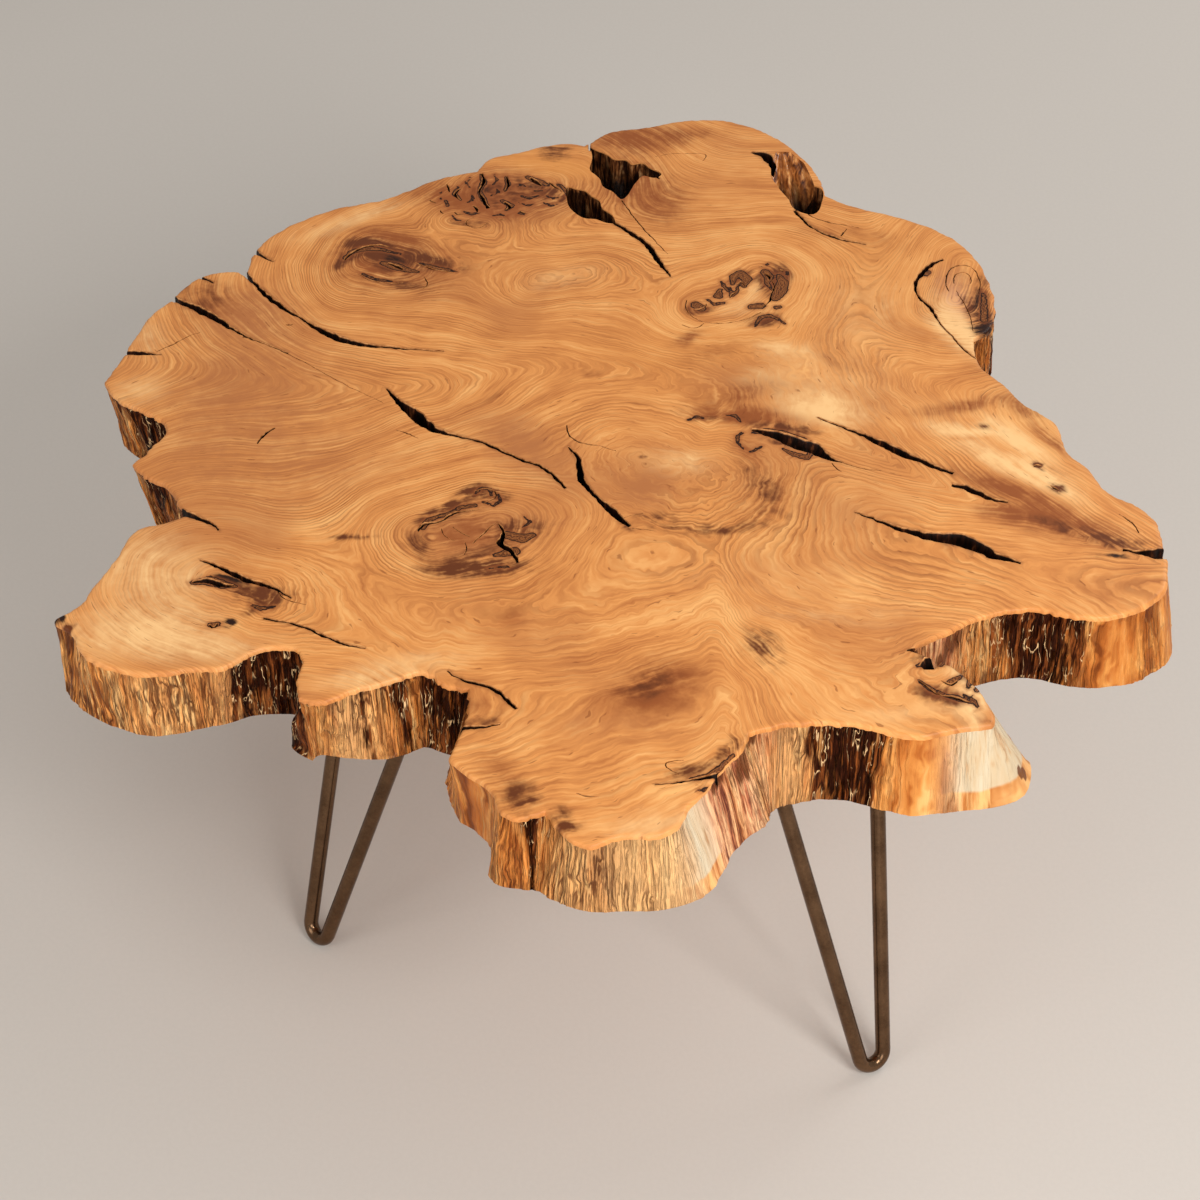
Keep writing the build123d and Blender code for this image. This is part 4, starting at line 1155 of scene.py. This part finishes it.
def topWood():
    paint = Painter("slabTopWood")
    lively = paint.scaled(paint.attribute("curly"), 1 - topFinish["calm"], topFinish["calm"])
    field = paint.attribute("rings")
    for scale, detail, reach in topFinish["waver"]:
        waver = paint.minus(paint.noise(paint.point, scale, detail), 0.5)
        field = paint.scaled(paint.times(waver, lively), reach, field)
    planX, planY = paint.axis("X"), paint.axis("Y")

    def grain(across, along, detail=2.0, roughness=0.5):
        # Noise drawn out along the rings, with so many changes a metre across and along them
        place = paint.place(paint.times(field, across), paint.times(planX, along),
                            paint.times(planY, along))
        return paint.noise(place, 1.0, detail, roughness)

    ring = grain(420.0, 12.0, 2.0, 0.6)
    shade = paint.scaled(grain(60.0, 5.0), 0.36, paint.times(ring, 0.26))
    shade = paint.scaled(grain(1300.0, 45.0), 0.30, shade)
    shade = paint.scaled(grain(9.0, 34.0), 0.18, shade)
    colour = paint.ramp(shade, [(0.39, woodTones["deep"]), (0.55, woodTones["mid"]),
                                (0.70, woodTones["light"])])
    # Growth rings: each darkens slowly and ends in a thin line
    count = paint.times(field, topFinish["ringsPerMetre"])
    sweep = paint.calc("FRACT", paint.scaled(grain(45.0, 7.0), topFinish["ringStray"], count))
    late = paint.times(paint.step(sweep, 0.30, 0.93), paint.step(sweep, 1.0, 0.94))
    late = paint.times(late, paint.step(grain(40.0, 12.0), 0.36, 0.70, 0.08, 0.42))
    late = paint.times(late, paint.scaled(paint.attribute("ringed"), 0.9, 0.8))
    colour = paint.mix(late, colour, woodTones["line"])
    # Dark veins that come and go, and broad clouds
    vein = paint.times(paint.step(grain(210.0, 13.0, 3.0, 0.6), 0.60, 0.74),
                       paint.step(paint.noise(paint.point, 14.0), 0.45, 0.65, 0.0, 0.5))
    colour = paint.mix(vein, colour, woodTones["line"])
    cloud = paint.noise(paint.point, 5.5, 3.0, 0.55)
    colour = paint.mix(paint.step(cloud, 0.48, 0.70, 0.0, topFinish["cloud"]), colour,
                       woodTones["tan"])
    # Stains, torn at their edges along the grain
    torn = paint.plus(paint.noise(paint.point, 85.0, 3.0, 0.6), grain(240.0, 24.0, 2.0, 0.6))
    torn = paint.minus(torn, 1.0)
    for name, (ragged, crisp) in stainOrder.items():
        share = paint.attribute(name + "Stain")
        loose = paint.scaled(paint.times(torn, share), ragged, share)
        kept = paint.times(loose, paint.step(ring, 0.25, 0.75, 1.2, 0.75))
        colour = paint.mix(paint.step(kept, crisp, 0.9 - crisp), colour, woodTones[name])
    lip = paint.step(paint.attribute("lips"), 0.45, 1.0, 0.0, topFinish["lipShade"])
    colour = paint.mix(lip, colour, woodTones["umber"])
    # The pockets: a brown halo, a dark rim, then brown wood in fine rings
    dark, light, rim = topFinish["pocketTones"]
    frayed = paint.minus(paint.noise(paint.point, 260.0, 2.0, 0.6), 0.5)
    ink = paint.scaled(frayed, 2.6, paint.attribute("ink"))
    halo = paint.step(ink, -3.5, 0.3, 0.0, topFinish["halo"])
    colour = paint.mix(halo, colour, woodTones["russet"])
    rings = paint.calc("FRACT", paint.scaled(frayed, 1.5, paint.times(ink, 0.6)))
    pocket = paint.mix(paint.step(rings, 0.2, 0.8, 0.1, 0.9), dark, light)
    pocket = paint.mix(paint.step(ink, 1.6, 0.5), pocket, rim)
    colour = paint.mix(paint.step(ink, -0.35, 0.25), colour, pocket)
    fleck = paint.step(grain(900.0, 70.0, 1.0), 0.70, 0.76, 0.0, 0.55)
    colour = paint.mix(fleck, colour, woodTones["line"])
    roughness = paint.step(ring, 0.2, 0.8, *topFinish["roughness"])
    return paint.finish(colour, roughness, shade, topFinish["bump"], Specular_IOR_Level=0.2)


wallTones = {
    "wood": [(0.38, tone(150, 78, 28)), (0.45, tone(214, 128, 56)), (0.53, tone(240, 160, 84)),
             (0.62, tone(252, 198, 128))],
    "cream": [(0.33, tone(194, 140, 92)), (0.42, tone(213, 186, 148)),
              (0.6, tone(219, 202, 172))],
    "creamBevel": [(0.4, tone(196, 120, 58)), (0.6, tone(246, 186, 118))],
    "flank": [(0.39, tone(104, 50, 40)), (0.46, tone(200, 122, 84)), (0.55, tone(252, 192, 140))],
    "golden": [(0.38, tone(124, 60, 18)), (0.47, tone(184, 102, 40)), (0.56, tone(222, 146, 72)),
               (0.66, tone(246, 184, 112))],
    "bark": [(0.42, tone(20, 5, 1)), (0.51, tone(58, 23, 8)), (0.60, tone(146, 78, 34))],
    "pale": tone(250, 200, 136),
    # groove: the colour of the painted shade in the grooves of the flutes
    "groove": tone(124, 58, 20),
    "line": tone(78, 28, 6),
    "spot": tone(104, 50, 20),
    # run: the colour of the painted highlights down the ridges
    "run": tone(250, 194, 122),
    # the colour of the painted glints on the bark
    "paintedBarkGlint": tone(250, 206, 150),
}
wallFinish = {
    "paleShare": 0.78,
    "grooveShadeShare": 0.45,
    "lineShare": 0.85,
    "bevelHeight": (0.379, 0.376),   # metres, where the bevel of the pale end starts and is full
    "barkStreaks": 4.5,              # how far the edges of the bark break up
    "roughness": 0.42,
    "bump": 0.0014,
}


def wallWood():
    paint = Painter("slabWallWood")
    height = paint.axis("Z")
    edgeX, edgeY = paint.attribute("edgeX"), paint.attribute("edgeY")

    def upright(across, along, detail=2.0, roughness=0.5, wander=None):
        # Noise drawn out up the wall, with so many changes a metre round it and up it
        x, y = paint.times(edgeX, across), paint.times(edgeY, across)
        if wander is not None:
            x, y = paint.plus(x, wander), paint.minus(y, wander)
        return paint.noise(paint.place(x, y, paint.times(height, along)), 1.0, detail, roughness)

    wander = paint.times(upright(60.0, 45.0), 1.4)
    streak = upright(240.0, 19.0, 2.0, 0.55, wander)
    fine = upright(900.0, 60.0, 2.0, 0.6)
    broad = upright(30.0, 6.0)
    shade = paint.scaled(streak, 0.55, paint.times(fine, 0.22))
    shade = paint.scaled(broad, 0.23, shade)
    glow = paint.scaled(upright(80.0, 9.0, wander=wander), 0.7, paint.times(broad, 0.3))
    rough = paint.minus(1.0, paint.attribute("calm"))
    pale, cream, barkMark = (paint.attribute(name) for name in ("pale", "cream", "bark"))
    # Thin dark lines between the flutes, in two sizes
    seam = paint.calc("ABSOLUTE", paint.minus(upright(220.0, 17.0, 1.0, 0.5, wander), 0.5))
    hair = paint.calc("ABSOLUTE", paint.minus(upright(480.0, 36.0, 1.0, 0.5, wander), 0.5))
    patch = paint.step(upright(24.0, 20.0), 0.35, 0.62, 0.25, 1.0)
    lines = paint.calc("MAXIMUM", paint.step(seam, 0.06, 0.015),
                       paint.step(hair, 0.06, 0.015, 0.0, 0.7))
    lines = paint.times(paint.times(lines, patch), rough)
    lines = paint.times(lines, paint.scaled(pale, -0.05, 1.0))
    # The kinds of wood over each other
    colour = paint.ramp(shade, wallTones["wood"])
    colour = paint.mix(paint.times(pale, wallFinish["paleShare"]), colour, wallTones["pale"])
    colour = paint.mix(paint.attribute("golden"), colour, paint.ramp(glow, wallTones["golden"]))
    colour = paint.mix(cream, colour, paint.ramp(shade, wallTones["cream"]))
    # The lower bevel of the pale end is speckled and golden
    bevel = paint.step(paint.scaled(broad, 0.012, height), *wallFinish["bevelHeight"])
    colour = paint.mix(paint.times(bevel, cream), colour,
                       paint.ramp(streak, wallTones["creamBevel"]))
    colour = paint.mix(paint.attribute("flank"), colour, paint.ramp(shade, wallTones["flank"]))
    # Painted shade: the colour darkens where the relief mark says the wall is in a groove
    groove = paint.step(paint.attribute("relief"), 0.6, 0.0, 0.0, wallFinish["grooveShadeShare"])
    groove = paint.times(groove, paint.scaled(pale, -0.75, 1.0))
    colour = paint.mix(groove, colour, wallTones["groove"])
    colour = paint.mix(paint.times(lines, wallFinish["lineShare"]), colour, wallTones["line"])
    spot = paint.scaled(paint.minus(streak, 0.5), 1.2, paint.attribute("spots"))
    colour = paint.mix(paint.step(spot, 0.34, 0.56, 0.0, 0.9), colour, wallTones["spot"])
    # Bark, whose edges break up into streaks
    bare = paint.times(paint.minus(0.5, shade), wallFinish["barkStreaks"])
    bare = paint.times(bare, paint.step(barkMark, 0.0, 0.3))
    barkShare = paint.step(paint.minus(barkMark, bare), 0.25, 0.75)
    colour = paint.mix(barkShare, colour, paint.ramp(shade, wallTones["bark"]))
    # Painted highlights: pale streaks down the ridges, standing in for glints on the varnish
    run = paint.step(upright(330.0, 30.0, 1.0, 0.5, wander), 0.64, 0.70)
    run = paint.times(run, paint.times(rough, patch))
    run = paint.times(run, paint.step(barkShare, 0.0, 1.0, 0.45, 0.0))
    colour = paint.mix(run, colour, wallTones["run"])
    # Painted glints on the bark: thin pale wavy lines standing in for highlights on its gloss
    paintedBarkGlint = paint.minus(upright(210.0, 34.0, wander=wander), 0.5)
    paintedBarkGlint = paint.step(paint.calc("ABSOLUTE", paintedBarkGlint), 0.022, 0.007)
    paintedBarkGlint = paint.times(paintedBarkGlint, paint.step(upright(110.0, 60.0), 0.48, 0.58))
    paintedBarkGlint = paint.times(paintedBarkGlint, paint.times(barkShare, 0.95))
    colour = paint.mix(paintedBarkGlint, colour, wallTones["paintedBarkGlint"])
    ridge = paint.plus(paint.step(seam, 0.0, 0.11), paint.step(hair, 0.0, 0.09, 0.0, 0.5))
    raised = paint.scaled(fine, 0.15, paint.times(ridge, paint.plus(rough, 0.15)))
    return paint.finish(colour, wallFinish["roughness"], raised, wallFinish["bump"],
                        Specular_IOR_Level=paint.step(barkShare, 0.0, 1.0, 0.06, 0.02),
                        Coat_Weight=paint.step(barkShare, 0.0, 1.0, 0.06, 0.04),
                        Coat_Roughness=0.1)


innerTones = {
    "crackRim": [(0.35, tone(150, 88, 42)), (0.65, tone(226, 158, 96))],
    "crack": [(0.42, tone(16, 6, 2)), (0.58, tone(42, 18, 8)), (0.72, tone(110, 60, 30))],
    "oldBark": [(0.38, tone(24, 9, 4)), (0.48, tone(86, 44, 20)), (0.58, tone(148, 90, 48)),
                (0.68, tone(214, 158, 104))],
    "oldBarkPatch": tone(26, 10, 4),
    "voidDepthShade": tone(14, 6, 3),
    "oldBarkRim": tone(206, 136, 76),
    "burl": [(0.36, tone(84, 40, 14)), (0.46, tone(158, 92, 42)), (0.55, tone(212, 140, 74)),
             (0.66, tone(246, 184, 116))],
    "burlDepthShade": tone(30, 13, 6),
}


def below(paint, near, far):
    # 0 at the first depth and 1 at the second, in millimetres under the top face
    return paint.step(paint.axis("Z"), (topFace - near) / 1000, (topFace - far) / 1000)


def crackWood():
    paint = Painter("slabInnerWood")
    streak = paint.noise(paint.stretched((1.0, 1.0, 0.2)), 190.0, 3.0, 0.6)
    # Painted shade: brown wood at the lip, near black more than 1.6 mm down the check
    colour = paint.mix(below(paint, 0.3, 1.6), paint.ramp(streak, innerTones["crackRim"]),
                       paint.ramp(streak, innerTones["crack"]))
    return paint.finish(colour, 0.5, streak, 0.001, Specular_IOR_Level=0.15, Coat_Weight=0.08,
                        Coat_Roughness=0.15)


def voidWood():
    # Old bark inside the openings: brown and fibrous near the top, then painted shade turns it dark
    # further down
    paint = Painter("slabVoidWood")
    wavy = paint.wavy(paint.stretched((1.0, 1.0, 0.16)), 45.0, 0.002)
    streak = paint.noise(wavy, 330.0, 3.0, 0.6)
    colour = paint.ramp(streak, innerTones["oldBark"])
    patch = paint.step(paint.noise(paint.point, 70.0), 0.42, 0.58, 0.25, 0.85)
    colour = paint.mix(patch, colour, innerTones["oldBarkPatch"])
    colour = paint.mix(below(paint, 12, 42), colour, innerTones["voidDepthShade"])
    colour = paint.mix(below(paint, 1.8, 0.6), colour, innerTones["oldBarkRim"])
    return paint.finish(colour, 0.4, streak, 0.0012, Specular_IOR_Level=0.15, Coat_Weight=0.15,
                        Coat_Roughness=0.1)


def burlWood():
    # The rolled burl: polished ribs of golden wood with dark folds between them, and painted shade
    # darkening it deeper in the scoop
    paint = Painter("slabBurlWood")
    wavy = paint.wavy(paint.stretched((1.0, 0.22, 0.4)), 60.0, 0.004)
    streak = paint.noise(wavy, 230.0, 3.0, 0.6)
    colour = paint.ramp(streak, innerTones["burl"])
    colour = paint.mix(below(paint, 8, 32), colour, innerTones["burlDepthShade"])
    return paint.finish(colour, 0.36, streak, 0.0012, Specular_IOR_Level=0.3, Coat_Weight=0.6,
                        Coat_Roughness=0.1)


slabWoods = {"top": topWood(), "wall": wallWood(), "crack": crackWood(), "burl": burlWood(),
             "void": voidWood()}
print("wood materials made")

slab = slabBlank()
for wood in slabWoods.values():
    slab.data.materials.append(wood)
openings = {"points": [], "faces": []}
for outline in voids.values():
    addVoid(openings, outline)
cutOut(slab, "openings", openings, slabWoods["void"])
roll = {"points": [], "faces": []}
addRoll(roll)
cutOut(slab, "roll", roll, slabWoods["burl"])
for name, lines, section in (("checks", checks, checkSection),
                             ("hairChecks", hairChecks, hairSection)):
    dried = {"points": [], "faces": []}
    for depth, line in lines.values():
        addCheck(dried, depth, line, section)
    cutOut(slab, name, dried, slabWoods["crack"])
paintFigure(slab)
onlySelect(slab)
bpy.ops.object.shade_smooth_by_angle(angle=radians(slabForm["smoothAngle"]))
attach(slab, "root")
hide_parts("slab")
print("slab done")


def bronze(name, dark, light, roughness):
    paint = Painter(name)
    mottled = paint.noise(paint.point, 38.0, 4.0, 0.6)
    scuff = paint.noise(paint.point, 420.0, 2.0, 0.6)
    blend = paint.scaled(scuff, 0.35, paint.times(mottled, 0.65))
    colour = paint.ramp(blend, [(0.36, dark), (0.62, light)])
    shine = paint.step(blend, 0.3, 0.7, roughness + 0.06, roughness - 0.05)
    return paint.finish(colour, shine, scuff, 0.00008, Metallic=0.85)


legFinish = {
    "rod": bronze("rodBronze", tone(84, 60, 40), tone(112, 84, 60), 0.22),
    "plate": bronze("plateBronze", tone(64, 48, 36), tone(88, 68, 50), 0.42),
    "welds": bronze("weldBronze", tone(60, 46, 36), tone(98, 76, 56), 0.36),
    "screws": bronze("screwBronze", tone(52, 42, 34), tone(84, 68, 54), 0.34),
}
for name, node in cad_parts.items():
    if name == "slab":
        continue
    node.data.materials.clear()
    node.data.materials.append(legFinish[name.split("_")[-1]])
print("legs finished")


stagePlan = {
    "floorSize": 14.0,
    "floorTone": tone(206, 198, 189),
    "floorFleck": tone(180, 170, 160),
    "cameraPlace": (-0.017, -1.7346, 1.9242),
    "cameraTilt": 46.0,
    "lens": 90.0,
    "lampAim": (0, 0, 0.35),
    "worldTone": (1.0, 0.99, 0.97, 1.0),
    "worldStrength": 0.42,
}
softLights = {   # place, size and power
    "key": ((1.2, -1.9, 2.1), 1.0, 45.5),
    "fill": ((-1.9, -1.5, 1.3), 1.4, 15.0),
    "front": ((0.2, -2.6, 0.8), 1.2, 17.0),
    "rear": ((1.9, 1.6, 2.3), 1.4, 28.0),
}


def floorMaterial():
    paint = Painter("floorPlain")
    grain = paint.noise(paint.point, 260.0, 3.0, 0.6)
    share = paint.step(grain, 0.35, 0.65, 0.0, 0.06)
    colour = paint.mix(share, stagePlan["floorTone"], stagePlan["floorFleck"])
    return paint.finish(colour, 0.9)


bpy.ops.object.select_all(action="DESELECT")
bpy.ops.mesh.primitive_plane_add(size=stagePlan["floorSize"])
floor = bpy.context.object
floor.name = "floor"
floor.data.materials.append(floorMaterial())

for name, (place, size, power) in softLights.items():
    lamp = bpy.data.lights.new(name, "AREA")
    lamp.shape = "SQUARE"
    lamp.size = size
    lamp.energy = power
    holder = bpy.data.objects.new(name, lamp)
    holder.location = place
    aim = Vector(stagePlan["lampAim"]) - Vector(place)
    holder.rotation_euler = aim.to_track_quat("-Z", "Y").to_euler()
    bpy.context.scene.collection.objects.link(holder)

world = bpy.data.worlds.new("studio")
bpy.context.scene.world = world
world.use_nodes = True
background = world.node_tree.nodes["Background"]
background.inputs["Color"].default_value = stagePlan["worldTone"]
background.inputs["Strength"].default_value = stagePlan["worldStrength"]

view = bpy.data.cameras.new("view")
view.lens = stagePlan["lens"]
camera = bpy.data.objects.new("view", view)
camera.location = stagePlan["cameraPlace"]
camera.rotation_euler = (radians(stagePlan["cameraTilt"]), 0, 0)
bpy.context.scene.collection.objects.link(camera)
bpy.context.scene.camera = camera
bpy.context.scene.view_settings.view_transform = "Standard"
print("stage set")
